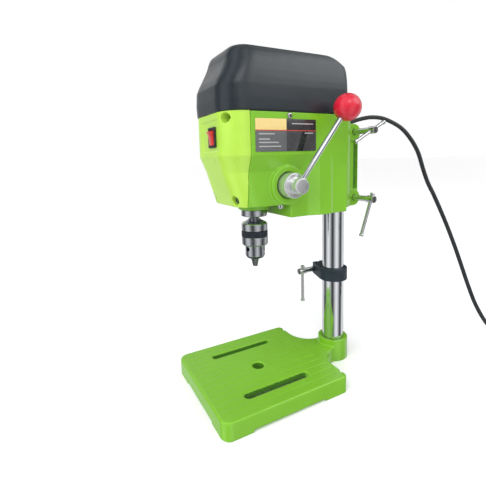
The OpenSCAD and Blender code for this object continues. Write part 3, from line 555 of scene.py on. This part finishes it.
def coil_path(turns=4.25, per_turn=48):
    """Clockwise from above: inwards along the floor, up one diameter, then outwards on top."""
    low, high = CORD_D / 2 + 0.05, CORD_D * 1.5 + 0.15
    out = []
    n = int(turns * per_turn)
    for i in range(n + 1):
        part = i / n
        a = math.pi / 2 - 2 * math.pi * turns * part
        r = COIL_INNER + (COIL_OUTER - COIL_INNER) * abs(2 * part - 1)
        climb = min(1.0, max(0.0, (part - 0.5) * turns * 360 / 80 + 0.5))
        z = low + (high - low) * climb * climb * (3 - 2 * climb)
        out.append(Vector((COIL_MID[0] + r * math.cos(a), COIL_MID[1] + r * math.sin(a), z)))
    return out


def make_cord():
    line = smooth_path(CORD_ROUTE, 6)[:-1] + coil_path() + smooth_path(PLUG_ROUTE, 5)[1:]
    o = tube("power_cord_sheath", line, CORD_D / 2, 14)
    length = sum((b - a).length for a, b in zip(line, line[1:])) * MM
    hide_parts("power_cord", "cord_coil")
    finish_with(o, "rubber")
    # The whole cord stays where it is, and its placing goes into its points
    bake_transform(o)
    return o, line, length


def make_cord_grip():
    """Flexible strain relief with a flange and soft ribs."""
    b = Span("cord_grip")
    x, z = b.mid.x, b.mid.z
    flange = b.hi.y - 32.9
    ribs = []
    for k in range(7):
        y = flange + 7 + k * 3.3
        r = 5.6 - 1.5 * (y - flange) / 30
        ribs += [(r, y), (r, y + 1.6), (r - 0.7, y + 2.0), (r - 0.7, y + 2.9)]
    profile = [(3.3, b.lo.y), (5, b.lo.y), (5, flange), (b.size.x / 2, flange), (b.size.x / 2, flange + 3),
               (5.6, flange + 3.4), (5.6, flange + 6.4)]
    profile += ribs + [(4.1, b.hi.y - 1.6), (3.9, b.hi.y), (3.3, b.hi.y)]
    o = lathe("cord_strain_relief", rounded(profile, 0.5, 2, closed=True), along_y(x, z), 48, closed=True)
    return stand_for(o, "rubber", "cord_grip")


def make_plug():
    """Moulded plug: an oval body with grip ridges, and two round pins."""
    b = Span("plug_body")
    x, z = PLUG_ROUTE[-1][0], PLUG_ROUTE[-1][2]
    verts, faces, seg, stations = [], [], 40, 44
    for i in range(stations):
        t = i / (stations - 1)
        y = b.hi.y - b.size.y * t
        grow = min(1.0, max(0.0, (t - 0.1) / 0.62))
        grow = grow * grow * (3 - 2 * grow)
        half_w = 4.6 + (b.size.x / 2 - 4.6) * grow
        half_h = 4.4 + (b.size.z / 2 - 4.4) * min(1.0, grow * 1.4)
        if 0.36 < t < 0.72:
            half_w -= 0.5 * (0.5 + 0.5 * math.cos(t * 150))
        if t > 0.97:
            half_w, half_h = half_w - 0.9, half_h - 0.9
        for k in range(seg):
            a = 2 * math.pi * k / seg
            ca, sa = math.cos(a), math.sin(a)
            verts.append((x + half_w * math.copysign(abs(ca) ** 0.75, ca), y,
                          z + half_h * math.copysign(abs(sa) ** 0.75, sa)))
    for i in range(stations - 1):
        for k in range(seg):
            j = (k + 1) % seg
            faces.append([i * seg + k, i * seg + j, (i + 1) * seg + j, (i + 1) * seg + k])
    faces += [list(range(seg)), list(range((stations - 1) * seg, stations * seg))]
    body = stand_for(add_mesh("plug_moulding", verts, faces), "rubber", "plug_body")
    pins = Span("plug_pins")
    parts = []
    for px in (pins.lo.x + 2, pins.hi.x - 2):
        profile = rounded([(0, pins.lo.y), (1.2, pins.lo.y + 0.1), (2, pins.lo.y + 1.6), (2, pins.hi.y + 0.5),
                           (0, pins.hi.y + 0.5)], 0.6)
        parts.append(lathe("pin", profile, along_y(px, z), 32))
    return body, stand_for(join("plug_contact_pins", parts), "nickel", "plug_pins")


def make_tie():
    """A flat strap round the coil's turns with its locking head on the outer side."""
    b = Span("cord_tie")
    outline = round_rect(b.lo.x + 0.7, b.lo.z + 0.7, b.hi.x - 0.7, b.hi.z - 0.7, 4, 6)
    verts, faces, n = [], [], len(outline)
    for x, z in outline:
        inward = Vector((b.mid.x - x, b.mid.z - z)).normalized()
        for y, d in ((b.lo.y + 0.6, 0), (b.hi.y - 0.6, 0), (b.hi.y - 0.6, 1.2), (b.lo.y + 0.6, 1.2)):
            verts.append((x + inward.x * d, y, z + inward.y * d))
    for i in range(n):
        j = (i + 1) % n
        for k in range(4):
            m = (k + 1) % 4
            faces.append([i * 4 + k, i * 4 + m, j * 4 + m, j * 4 + k])
    strap = add_mesh("strap", verts, faces)
    modify(strap, "BEVEL", width=0.3 * MM, segments=2, limit_method="ANGLE", angle_limit=math.radians(50))
    bake_modifiers(strap)
    head = slab("head", (b.lo.x + 0.2, b.lo.y, b.mid.z - 1.5), (b.lo.x + 3.2, b.hi.y, b.mid.z + 4), 0.5)
    return stand_for(join("coil_tie_strap", [strap, head]), "tie", "cord_tie")


cord, cord_line, cord_length = make_cord()
grip = make_cord_grip()
plug, pins = make_plug()
tie = make_tie()

# ---------------------------------------------------------------- base and column

# The base plate in plan: its rear edge, corner radii, the curve beside its neck, and its boss
PLATE_REAR = -45.4
REAR_CORNER, FRONT_CORNER = 7.0, 12.0
NECK_X, NECK_Y, NECK_R = 52, -12, 33.3
BOSS_R = 22.3
TABLE_TOP = 23.6


def plate_edge_depth(x, y, b):
    """How far a point is inside the base plate's outline, with its neck and boss, in plan."""
    corner = np.where(y > (PLATE_REAR + b.lo.y) / 2, REAR_CORNER, FRONT_CORNER)
    hx, hy = b.size.x / 2, (PLATE_REAR - b.lo.y) / 2
    qx = np.abs(x) - (hx - corner)
    qy = np.abs(y - (PLATE_REAR + b.lo.y) / 2) - (hy - corner)
    plate_in = corner - np.hypot(np.maximum(qx, 0), np.maximum(qy, 0)) - np.minimum(np.maximum(qx, qy), 0)
    neck_in = np.minimum(np.hypot(np.abs(x) - NECK_X, y - NECK_Y) - NECK_R,
                         np.where(np.abs(x) < NECK_X, 60.0, -1.0))
    neck_in = np.where((y > PLATE_REAR - 2) & (y < 6), neck_in, -1.0)
    boss_in = BOSS_R - np.hypot(x, y)
    return np.maximum(plate_in, np.maximum(neck_in, np.where(boss_in > -1.5, 50.0, -1.0)))


def base_fillet(b, radius=2.6):
    """Rounds the table's upper outer edge to the radius."""
    def reshape(co):
        d = plate_edge_depth(co[:, 0], co[:, 1], b)
        h = TABLE_TOP - co[:, 2]
        step = 0.2
        gx = (plate_edge_depth(co[:, 0] + step, co[:, 1], b) - plate_edge_depth(co[:, 0] - step, co[:, 1], b))
        gy = (plate_edge_depth(co[:, 0], co[:, 1] + step, b) - plate_edge_depth(co[:, 0], co[:, 1] - step, b))
        g = np.stack([gx, gy], 1)
        g /= np.maximum(np.linalg.norm(g, axis=1, keepdims=True), 1e-6)
        inside = (d > -0.8) & (d < radius) & (h > -0.3) & (h < radius)
        v = np.stack([np.maximum(d, 0) - radius, np.maximum(h, 0) - radius], 1)
        length = np.maximum(np.linalg.norm(v, axis=1), 1e-6)
        k = np.where(inside & (length > radius), radius / length, 1.0)
        new_d, new_h = radius + v[:, 0] * k, radius + v[:, 1] * k
        out = co.copy()
        move = np.where(inside, new_d - d, 0.0)
        out[:, :2] += g * move[:, None]
        out[:, 2] = np.where(inside, TABLE_TOP - new_h, co[:, 2])
        return out

    return reshape


def darken(o, inside):
    """Gives a casting's polygons in sunk places a darker finish, which stands for their shade."""
    o.data.materials.append(M["green_painted_shade"])
    for p in o.data.polygons:
        if inside(p.center / MM):
            p.material_index = 1


def in_table_openings(c, grow=2.2):
    """True for a point on the walls of the table's hole or slots, below their rounded edges."""
    hole = next(m for m in RECORD["mounts"] if m["name"] == "table_hole")
    x, y = (v / MM for v in hole["pos_m"][:2])
    top = next(m["pos_m"][2] for m in RECORD["mounts"] if m["name"] == "table_face") / MM
    if c.z > top - 1.5:
        return False
    if math.hypot(c.x - x, c.y - y) < hole["dims"]["r_mm"] + 0.8:
        return True
    return any(lo[0] / MM - grow < c.x < hi[0] / MM + grow
               and lo[1] / MM - 2 * grow < c.y < hi[1] / MM + 2 * grow for lo, hi in SLOTS)


def make_base():
    b = Span("base_casting")
    base = cast("base_casting_body", "base_casting", 0.8, 3, reshape=base_fillet(b))
    stand_for(base, "green", "base_casting")
    # Painted shade: the walls of the table's hole and slots take the darker green
    darken(base, in_table_openings)
    c = Span("column_tube")
    r = c.size.x / 2
    wall = 3
    section = [(r - wall, c.lo.z), (r, c.lo.z), (r, c.hi.z), (r - wall, c.hi.z)]
    tube_profile = rounded(section, 0.8, closed=True)
    stand_for(lathe("column_chromed", tube_profile, along_z(0, 0), 160, closed=True), "chrome", "column_tube")


make_base()


# ---------------------------------------------------------------- stop collar and clamp screws

# Where the thick heads of the clamp screws end or start, and the radius of their shanks
COLLAR_HEAD_END = -30
CLAMP_HEAD_START = 40
SHANK_R = 4


def tommy_bar(name, start, end, node):
    """A sliding bar with a domed cap on each end."""
    length = (Vector(end) - Vector(start)).length
    r, cap_r, cap_h = 2.4, 3.3, 3.1
    profile = [(0, 0), (cap_r - 0.9, 0), (cap_r, 0.9), (cap_r, cap_h - 0.6), (cap_r - 0.4, cap_h), (r, cap_h),
               (r, length - cap_h), (cap_r - 0.4, length - cap_h), (cap_r, length - cap_h + 0.6),
               (cap_r, length - 0.9), (cap_r - 0.9, length), (0, length)]
    return stand_for(lathe(name, rounded(profile, 0.35, 3), towards(start, end), 48), "zinc", node)


def clamp_screw(name, node, place, sections, hole_at, hole_dir):
    """A turned screw: sections are (start, end, radius) along the local axis, with a cross hole."""
    profile = [(0, sections[0][0])]
    for start, end, r in sections:
        profile += [(r, start), (r, end)]
    profile.append((0, sections[-1][1]))
    o = lathe(name, rounded(profile, 0.5, 3), place, 64)
    d = Vector(hole_dir).normalized() * 9
    hole = lathe("hole", rod_profile(18, 2.48, 0.02), towards(Vector(hole_at) - d, Vector(hole_at) + d), 40)
    return stand_for(cut(o, [hole]), "zinc", node)


def bar_ends(node, slope):
    """The two ends of a slanted bar on the line through its box, at the given slope in the YZ plane."""
    b = Span(node)
    d = Vector((0, -math.sin(slope), math.cos(slope)))
    reach = 3.3
    flat, tall = abs(d.y), abs(d.z)
    half = (b.size.y / 2 - reach * tall) / flat if flat > tall else (b.size.z / 2 - reach * flat) / tall
    return b.mid - d * half, b.mid + d * half, d


def make_clamps():
    collar = cast("stop_collar_body", "stop_collar", 0.5, 3, near=0.06, far=0.2, keep=0.35)
    stand_for(collar, "iron", "stop_collar")
    s = Span("collar_screw")
    x, z = s.mid.x, s.mid.z
    bar = Span("collar_bar")
    clamp_screw("collar_clamp_screw", "collar_screw", along_y(x, z),
                [(s.lo.y, COLLAR_HEAD_END, s.size.x / 2), (COLLAR_HEAD_END, s.hi.y, SHANK_R)],
                (x, bar.mid.y, z), (0, 0, 1))
    tommy_bar("collar_tommy_bar", (x, bar.mid.y, bar.lo.z), (x, bar.mid.y, bar.hi.z), "collar_bar")
    for side, slope in (("upper", 117), ("lower", 160)):
        s = Span(side + "_clamp_screw")
        start, end, d = bar_ends(side + "_clamp_bar", math.radians(slope))
        axis_x = (start.x + end.x) / 2
        y, z = s.mid.y, s.mid.z
        clamp_screw(side + "_clamp_bolt", side + "_clamp_screw", along_x(y, z),
                    [(s.lo.x, CLAMP_HEAD_START, SHANK_R), (CLAMP_HEAD_START, s.hi.x, s.size.y / 2)],
                    (axis_x, y, z), d)
        tommy_bar(side + "_tommy_bar", start, end, side + "_clamp_bar")


make_clamps()

# ---------------------------------------------------------------- head

def make_head():
    head = cast("head_casting_body", "head_casting", 0.9, 4, near=0.08, far=0.28, keep=0.25)
    stand_for(head, "green", "head_casting")
    ear = Span("upper_clamp_screw").mid, Span("lower_clamp_screw").mid
    # Painted shade: the recess in the clamp ears between the screw bosses takes the darker green
    darken(head, lambda c: abs(c.x) < 5.5 and ear[0].y + 2 < c.y < ear[0].y + 11
           and ear[1].z + 12 < c.z < ear[0].z - 12)
    stand_for(cast("front_cover_shell", "front_cover", 0.65, 4, near=0.08, far=0.24, keep=0.3),
              "green_front", "front_cover")
    stand_for(cast("belt_cover_hood", "belt_cover", 0.9, 8, far=0, keep=0.35), "cover", "belt_cover")


def pan_head_screw(centre, outward, head_r, head_h, shank_r, shank_l):
    """A pan-head screw with a cross recess: outward is the way that its head faces."""
    place = towards(centre, Vector(centre) + Vector(outward))
    profile = rounded([(0, -shank_l), (shank_r, -shank_l), (shank_r, 0), (head_r, 0), (head_r, head_h * 0.45),
                       (head_r * 0.72, head_h), (0, head_h)], 0.5, 3)
    o = lathe("screw", profile, place, 48)
    cuts = []
    for w, l in ((0.7, head_r * 1.2), (head_r * 1.2, 0.7)):
        c = slab("cut", (-w / 2, -l / 2, head_h * 0.35), (w / 2, l / 2, head_h * 2), 0.05, 1)
        c.data.transform(Matrix.Scale(MM, 4) @ place @ Matrix.Scale(1 / MM, 4))
        cuts.append(c)
    return cut(o, cuts)


def make_small_screws():
    b = Span("belt_cover_screws")
    parts = [pan_head_screw((s * (b.size.x / 2 - 2.2), b.mid.y, b.mid.z), (s, 0, 0),
                            b.size.y / 2, 2.15, 2, 6.5) for s in (-1, 1)]
    stand_for(join("belt_cover_pan_screws", parts), "zinc", "belt_cover_screws")
    b = Span("front_cover_screws")
    out = b.lo.y
    parts = []
    for sx, x_in in ((1, b.hi.x - 3.6), (-1, b.lo.x + 3.6)):
        parts.append(pan_head_screw((x_in, out + 3, b.hi.z - 3.6), (0, -1, 0), 3.6, 2.9, 2, 9.5))
        parts.append(pan_head_screw((sx * 30, out + 8.2, b.lo.z + 3.6), (0, -1, 0), 3.6, 2.9, 2, 4.3))
    stand_for(join("front_cover_pan_screws", parts), "dark_steel", "front_cover_screws")
    b = Span("quill_guide_screw")
    o = pan_head_screw((b.mid.x, b.mid.y, b.lo.z + 6), (0, 0, -1), b.size.y / 2, 5.6, 2.5, b.size.z - 6.2)
    o.name = "quill_guide_pan_screw"
    stand_for(o, "zinc", "quill_guide_screw")


def label_finish(b):
    """A plain rating plate: a tan field over a grey one on the left, a dark field with a slanted
    band on the right, a thin red rule, and a few plain bars where print would be."""
    f = Finish("rating_plate_print", 0.30, coat=0.5, coat_rough=0.12)
    parts = f.node("ShaderNodeSeparateXYZ")
    f.put(parts.inputs[0], f.place)
    across = f.remap(parts.outputs["Y"], b.lo.y * MM, b.hi.y * MM)
    up = f.remap(parts.outputs["Z"], b.lo.z * MM, b.hi.z * MM)

    def inside(value, low, high):
        return f.math("MULTIPLY", f.math("GREATER_THAN", value, low), f.math("LESS_THAN", value, high))

    def block(x1, x2, y1, y2):
        return f.math("MULTIPLY", inside(across, x1, x2), inside(up, y1, y2))

    speckle = f.noise(900, 3)
    grey = f.mix(speckle, (0.085, 0.088, 0.092), (0.11, 0.113, 0.118))
    dark = f.mix(speckle, (0.014, 0.014, 0.016), (0.026, 0.026, 0.029))
    tone = f.mix(f.math("GREATER_THAN", across, 0.49), grey, dark)
    lean = f.math("SUBTRACT", across, f.math("MULTIPLY", up, 0.16))
    pale = f.math("MULTIPLY", f.math("GREATER_THAN", across, 0.49), f.math("LESS_THAN", up, 0.66))
    tone = f.mix(pale, tone, (0.048, 0.047, 0.050))
    tone = f.mix(f.math("MULTIPLY", inside(lean, 0.66, 0.76), f.math("LESS_THAN", up, 0.66)), tone,
                 (0.006, 0.006, 0.007))
    tone = f.mix(block(0.0, 0.49, 0.66, 1.0), tone, f.mix(speckle, (0.62, 0.47, 0.17), (0.70, 0.54, 0.22)))
    tone = f.mix(block(0.0, 1.0, 0.63, 0.66), tone, (0.42, 0.05, 0.035))
    for x1, x2, y in ((0.05, 0.30, 0.52), (0.05, 0.22, 0.36), (0.05, 0.36, 0.26), (0.05, 0.40, 0.14),
                      (0.58, 0.95, 0.84), (0.80, 0.95, 0.55)):
        tone = f.mix(block(x1, x2, y, y + 0.035), tone, (0.34, 0.34, 0.34))
    f.color(tone)
    f.put(f.bsdf.inputs["Roughness"], f.remap(f.noise(90, 4), 0.3, 0.7, 0.22, 0.36))
    f.bump(speckle, 0.01)
    return f.mat


def make_label():
    b = Span("nameplate")
    outline = round_rect(b.lo.y, b.lo.z, b.hi.y, b.hi.z, 1.4)
    place = Matrix(((0, 0, 1, b.lo.x), (1, 0, 0, 0), (0, 1, 0, 0), (0, 0, 0, 1)))
    o = plate("rating_plate", outline, place, b.size.x, 0.18)
    stand_for(o, label_finish(b), "nameplate")


def make_switch():
    """A framed rocker switch: bezel, dark well and a curved rocker with two plain marks."""
    b = Span("switch_body")
    r = Span("switch_rocker")
    face = b.lo.y
    frame_outer = round_rect(b.lo.x, b.lo.z, b.hi.x, b.hi.z, 1.6)
    stand = Matrix(((1, 0, 0, 0), (0, 0, -1, face + 2), (0, 1, 0, 0), (0, 0, 0, 1)))
    bezel = plate("bezel", frame_outer, stand, 2, 0.6)
    window = slab("window", (b.mid.x - 7, face - 3, b.mid.z - 9.4),
                  (b.mid.x + 7, face + 11, b.mid.z + 9.4), 0.3, 2)
    case = slab("case", (b.lo.x + 1.3, face + 1, b.lo.z + 1.8), (b.hi.x - 1.3, b.hi.y, b.hi.z - 1.8), 0.8)
    bezel = join("switch_bezel", [bezel, case])
    seats = [lathe("seat", rod_profile(1.3, 1.45, 0.05), along_x(face + 2, b.mid.z, b.mid.x + x), 32)
             for x in (-8.7, 7.4)]
    stand_for(cut(bezel, [window] + seats), "black", "switch_body")
    # The rocker: its lower end is pressed, its upper end stands out
    tilt = math.radians(12)
    centre = Vector((b.mid.x, face + 2, b.mid.z))
    outline = []
    half, steps = 8.3, 24
    for k in range(steps + 1):
        v = -half + 2 * half * k / steps
        outline.append((v, 30 - math.sqrt(27 ** 2 - v * v)))
    outline += [(half, -5.3), (-half, -5.3)]
    verts, n = [], len(outline)
    for x in (-6.6, 6.6):
        for v, out in outline:
            p = Vector((x, -out, v))
            p.rotate(Matrix.Rotation(tilt, 3, "X"))
            verts.append(centre + p)
    faces = [list(range(n)), list(range(n, 2 * n))]
    faces += [[k, (k + 1) % n, n + (k + 1) % n, n + k] for k in range(n)]
    rocker = add_mesh("rocker_key", verts, faces)
    modify(rocker, "BEVEL", width=0.45 * MM, segments=3, limit_method="ANGLE", angle_limit=math.radians(40))
    bake_modifiers(rocker)
    pivot = lathe("pivot", rod_profile(16.7, 1.4, 0.2), along_x(centre.y, centre.z, r.lo.x + 0.05), 24)
    stand_for(even_shading(join("rocker_key", [rocker, pivot])), "rocker", "switch_rocker")


make_head()
make_small_screws()
make_label()
make_switch()

# ---------------------------------------------------------------- quill, spindle and chuck

def make_quill():
    q = Span("quill")
    x, y = 0, q.mid.y
    n = Span("quill_nut")
    nut_r = n.size.x / 2
    ring = [(9, n.lo.z), (nut_r - 1, n.lo.z), (nut_r, n.lo.z + 1), (nut_r, n.hi.z), (9, n.hi.z)]
    nut = lathe("quill_end_ring", rounded(ring, 0.35, 3, closed=True), along_z(x, y), 128, closed=True)
    notches = []
    for k in range(6):
        a = math.radians(60 * k + 30)
        c = slab("notch", (16.1, -1.5, n.lo.z + 0.9), (19.5, 1.5, n.lo.z + 3.4), 0.2, 1)
        c.data.transform(Matrix.Translation((x * MM, y * MM, 0)) @ Matrix.Rotation(a, 4, "Z"))
        notches.append(c)
    stand_for(cut(nut, notches), "steel", "quill_nut")
    s = Span("spindle")
    neck_r, collar_r, spline_r = 6, 8.4, 4.5
    cone_foot, collar_low, collar_top, spline_foot = 235.2, 237.4, 238.6, 339
    shaft = rounded([(0, s.lo.z), (neck_r, s.lo.z), (neck_r, cone_foot), (collar_r, collar_low),
                     (collar_r, collar_top), (neck_r, collar_top), (neck_r, spline_foot - 1),
                     (spline_r, spline_foot), (spline_r, s.hi.z), (0, s.hi.z)], 0.4)
    stand_for(lathe("spindle_shaft", shaft, along_z(x, y), 80), "steel", "spindle")


def chuck_teeth(b, r_in):
    """Raises and lowers the sleeve's inner bottom edge into bevel teeth for the key."""
    def shape(a, r, h):
        if h < b.lo.z + 2.3 and r < r_in + 2.4:
            wave = math.cos(30 * a)
            up = min(1.0, max(0.0, 0.5 + wave * 1.6))
            return r, h + up * 1.9 * (1 - (r - r_in) / 2.4 * 0.35)
        return r, h
    return shape


def make_chuck():
    c = Span("chuck_body")
    y = c.mid.y
    place = along_z(0, y)
    top_r = c.size.x / 2
    nose_r = 13.2
    shoulder_low, shoulder_top = 218.8, 227.2
    key_z, jaw_foot_z, tilt = 194, 169, math.radians(15)
    profile = [(0, c.lo.z + 3), (4.6, c.lo.z + 3), (5.4, c.lo.z), (8, c.lo.z), (11.2, c.lo.z + 1.4),
               (nose_r, c.lo.z + 4.5), (nose_r, shoulder_low), (top_r, shoulder_low),
               (top_r, shoulder_top), (top_r - 1.1, 228.8),
               (11.5, 231.2), (8.6, 232.6), (7.6, c.hi.z), (0, c.hi.z)]
    body = lathe("chuck_body_turned", rounded(profile, 0.55, 4), place, 144)
    cuts = []
    for k in range(3):
        a = math.radians(120 * k + 44)
        d = Vector((math.cos(a), math.sin(a), 0))
        mid = Vector((0, y, key_z))
        cuts.append(lathe("key_hole", rod_profile(9, 3.1, 0.05), towards(mid + d * 7.6, mid + d * 16), 40))
        a = math.radians(120 * k + 104)
        lean = Vector((math.sin(tilt) * math.cos(a), math.sin(tilt) * math.sin(a), math.cos(tilt)))
        foot = Vector((0.6 * math.cos(a), y + 0.6 * math.sin(a), jaw_foot_z))
        cuts.append(lathe("jaw_bore", rod_profile(24, 2.72, 0.05), towards(foot + lean * 6,
                foot + lean * 20), 40))
    stand_for(cut(body, cuts), "steel", "chuck_body")
    # The key holes' walls and the faces that look down are darker, which stands for their shade
    body.data.materials.append(M["blued"])
    for p in body.data.polygons:
        at = p.center / MM
        deep = math.hypot(at.x, at.y - y)
        if (key_z - 6 < at.z < key_z + 5 and 5.5 < deep < nose_r - 0.45) or p.normal.z < -0.5:
            p.material_index = 1
    ring_back, ring_top, band_foot, band_top, band_in = 202, 208.2, 210.2, 217.6, 16.3
    # Painted shade: a dark ring inside the sleeve, seen through the gaps between the teeth
    shade_ring_outline = [(nose_r - 0.3, 198.0), (nose_r + 0.12, 198.2), (nose_r + 0.12, 201.8), (nose_r - 0.3,
            ring_back)]
    shade = lathe("chuck_teeth_painted_shade", rounded(shade_ring_outline, 0.05, 2, closed=True), place, 144, closed=True)
    belongs(shade, "blued", "chuck_sleeve")
    s = Span("chuck_sleeve")
    r = s.size.x / 2
    inner = nose_r + 0.2
    ring = [(inner, s.lo.z), (inner + 1.2, s.lo.z), (inner + 2.4, s.lo.z), (r - 1.9, s.lo.z),
            (r, s.lo.z + 1.9), (r, ring_top), (r - 0.25, band_foot), (band_in, band_foot),
            (band_in, ring_back), (inner, ring_back)]
    ring = rounded(ring, 0.3, 3, closed=True)
    sleeve = lathe("chuck_sleeve_ring", ring, place, 360, closed=True, shape=chuck_teeth(s, inner))
    stand_for(sleeve, "steel", "chuck_sleeve")
    band = rounded([(band_in, band_foot), (r - 0.25, band_foot), (r - 0.05, 211), (r - 0.05, band_top),
                    (r - 0.3, s.hi.z), (band_in, s.hi.z)], 0.2, 3, closed=True)
    grip = lathe("chuck_dark_band", band, place, 360, closed=True,
                 shape=lambda a, rr, h: (rr - (0.22 * (math.cos(60 * a) > 0) if rr > r - 0.4 else 0), h))
    belongs(grip, "blued", "chuck_sleeve")


make_quill()
make_chuck()

# ---------------------------------------------------------------- feed

def make_feed():
    hub = Span("feed_hub")
    y, z = hub.mid.y, hub.mid.z
    r = hub.size.z / 2
    rim_x, nose_x, lever_root_x = 64.6, 66, 71
    steps = [(0, hub.lo.x), (r, hub.lo.x), (r, rim_x), (r - 1, nose_x), (9.9, nose_x), (9.8, 67.4),
             (9.8, hub.hi.x - 1.6), (8.7, hub.hi.x), (0, hub.hi.x)]
    body = lathe("feed_hub_turned", rounded(steps, 0.6, 4), along_x(y, z), 128)
    knob = Span("lever_knob")
    root = Vector((lever_root_x, y, z))
    ball = knob.mid.copy()
    d = (ball - root).normalized()
    reach = (ball - root).length
    hole = lathe("hole", rod_profile(26, 3.3, 0.05), towards(root + d * 2, ball), 40)
    stand_for(cut(body, [hole]), "alloy", "feed_hub")
    rod = rounded([(0, 3), (3.2, 3), (3.2, reach - 14.6), (0, reach - 14.6)], 0.4)
    stand_for(lathe("feed_lever_rod", rod, towards(root, ball), 64), "chrome", "feed_lever")
    ball_r = knob.size.x / 2
    neck = 5.2
    profile = [(0, -ball_r + 1.2), (3.3, -ball_r + 1.2)]
    start = math.asin(neck / ball_r)
    count = 40
    for k in range(count + 1):
        a = start + (math.pi - start) * k / count
        profile.append((ball_r * math.sin(a) if k < count else 0, -ball_r * math.cos(a)))
    ball_o = lathe("lever_ball_knob", profile, Matrix.Translation(ball) @ towards((0, 0, 0), d), 96)
    stand_for(ball_o, "knob", "lever_knob")
    cap = Span("spring_cap")
    rc = cap.size.z / 2
    lid = rounded([(0, cap.lo.x), (5.4, cap.lo.x), (5.8, cap.lo.x + 0.8), (rc - 3, cap.lo.x + 0.8),
                   (rc - 2.2, cap.lo.x), (rc - 0.8, cap.lo.x), (rc, cap.lo.x + 0.9), (rc, cap.hi.x),
                   (rc - 2, cap.hi.x), (rc - 2, cap.lo.x + 2.2), (0, cap.lo.x + 2.2)], 0.4, 3)
    grip_lid = lathe("spring_cap_lid", lid, along_x(cap.mid.y, cap.mid.z), 144,
                     shape=lambda a, rr, h: (
                         rr - (0.35 * max(0, math.cos(24 * a)) if rr > rc - 0.3 else 0), h))
    stand_for(grip_lid, "black", "spring_cap")


make_feed()

# ---------------------------------------------------------------- CAD nodes that stay

def keep_cad_nodes():
    """Gives each CAD node that still shows its own finish, softened edges and even shading."""
    for name, o in frame["nodes"].items():
        if o.hide_render:
            continue
        finish_with(o, BY_SLOT[SLOT[name]])
        modify(o, "WELD", merge_threshold=1e-6)
        modify(o, "BEVEL", width=0.15 * MM, segments=2, limit_method="ANGLE", angle_limit=math.radians(40))
        modify(o, "EDGE_SPLIT", split_angle=math.radians(40))
        o.data.polygons.foreach_set("use_smooth", [True] * len(o.data.polygons))


keep_cad_nodes()

# ---------------------------------------------------------------- stage

def make_stage():
    """A wide pale floor. Polished parts don't mirror it, so they show the room down to the base."""
    half = 40000
    corners = [(-half, -half, 0), (half, -half, 0), (half, half, 0), (-half, half, 0)]
    floor = add_mesh("floor", corners, [(0, 1, 2, 3)])
    f = Finish("pale_floor", 0.6, specular=0.2)
    f.color(f.mix(f.noise(3, 2), (0.965, 0.965, 0.965), (0.985, 0.985, 0.985)))
    floor.data.materials.append(f.mat)
    floor.visible_glossy = False


def add_light(name, kind, place, power, **settings):
    """A light that faces the middle of the machine. Polished parts mirror area lights and not the sun."""
    data = bpy.data.lights.new(name, kind)
    data.energy = power
    for key, value in settings.items():
        setattr(data, key, value)
    o = bpy.data.objects.new(name, data)
    bpy.context.scene.collection.objects.link(o)
    o.location = place
    o.visible_glossy = kind == "AREA"
    o.rotation_mode = "QUATERNION"
    o.rotation_quaternion = (Vector((0, -0.08, 0.2)) - Vector(place)).to_track_quat("-Z", "Y")


# How bright the room is: its boxes and corners in polished parts, for matt surfaces, and to the camera
BOX_LEVEL, CORNER_LEVEL = 0.95, 0.06
MATT_LEVEL = (0.50, 0.50, 0.51, 1)
WHITE = (1, 1, 1, 1)


def make_room():
    """White to the camera and an even grey to matt surfaces. Polished parts mirror four soft boxes,
    one at each compass point, with dark corners between them."""
    world = bpy.data.worlds.new("studio")
    bpy.context.scene.world = world
    world.use_nodes = True
    t = world.node_tree

    def math_node(operation, *inputs):
        n = t.nodes.new("ShaderNodeMath")
        n.operation = operation
        for socket, value in zip(n.inputs, inputs):
            if isinstance(value, bpy.types.NodeSocket):
                t.links.new(value, socket)
            else:
                socket.default_value = value
        return n.outputs[0]

    way = t.nodes.new("ShaderNodeSeparateXYZ")
    t.links.new(t.nodes.new("ShaderNodeTexCoord").outputs["Generated"], way.inputs[0])
    compass = math_node("ARCTAN2", way.outputs["Y"], way.outputs["X"])
    wave = math_node("COSINE", math_node("MULTIPLY", compass, 4))
    half_range = (BOX_LEVEL - CORNER_LEVEL) / 2
    boxes = math_node("MULTIPLY_ADD", wave, half_range, CORNER_LEVEL + half_range)
    ray = t.nodes.new("ShaderNodeLightPath")
    level = MATT_LEVEL
    for is_ray, seen in (("Is Glossy Ray", boxes), ("Is Camera Ray", WHITE)):
        mix = t.nodes.new("ShaderNodeMix")
        mix.data_type = "RGBA"
        t.links.new(ray.outputs[is_ray], mix.inputs[0])
        for socket, value in ((mix.inputs[6], level), (mix.inputs[7], seen)):
            if isinstance(value, bpy.types.NodeSocket):
                t.links.new(value, socket)
            else:
                socket.default_value = value
        level = mix.outputs[2]
    t.links.new(level, t.nodes["Background"].inputs["Color"])


def make_light():
    add_light("window", "SUN", (0.28, -0.83, 0.85), 2.9, angle=math.radians(70))
    add_light("key", "AREA", (1.2, -0.6, 1.4), 4, size=0.7)
    add_light("sky", "AREA", (1.2, 1.0, 1.45), 13, size=1.3)
    make_room()
    bpy.context.scene.view_settings.view_transform = "Standard"


make_stage()
make_light()
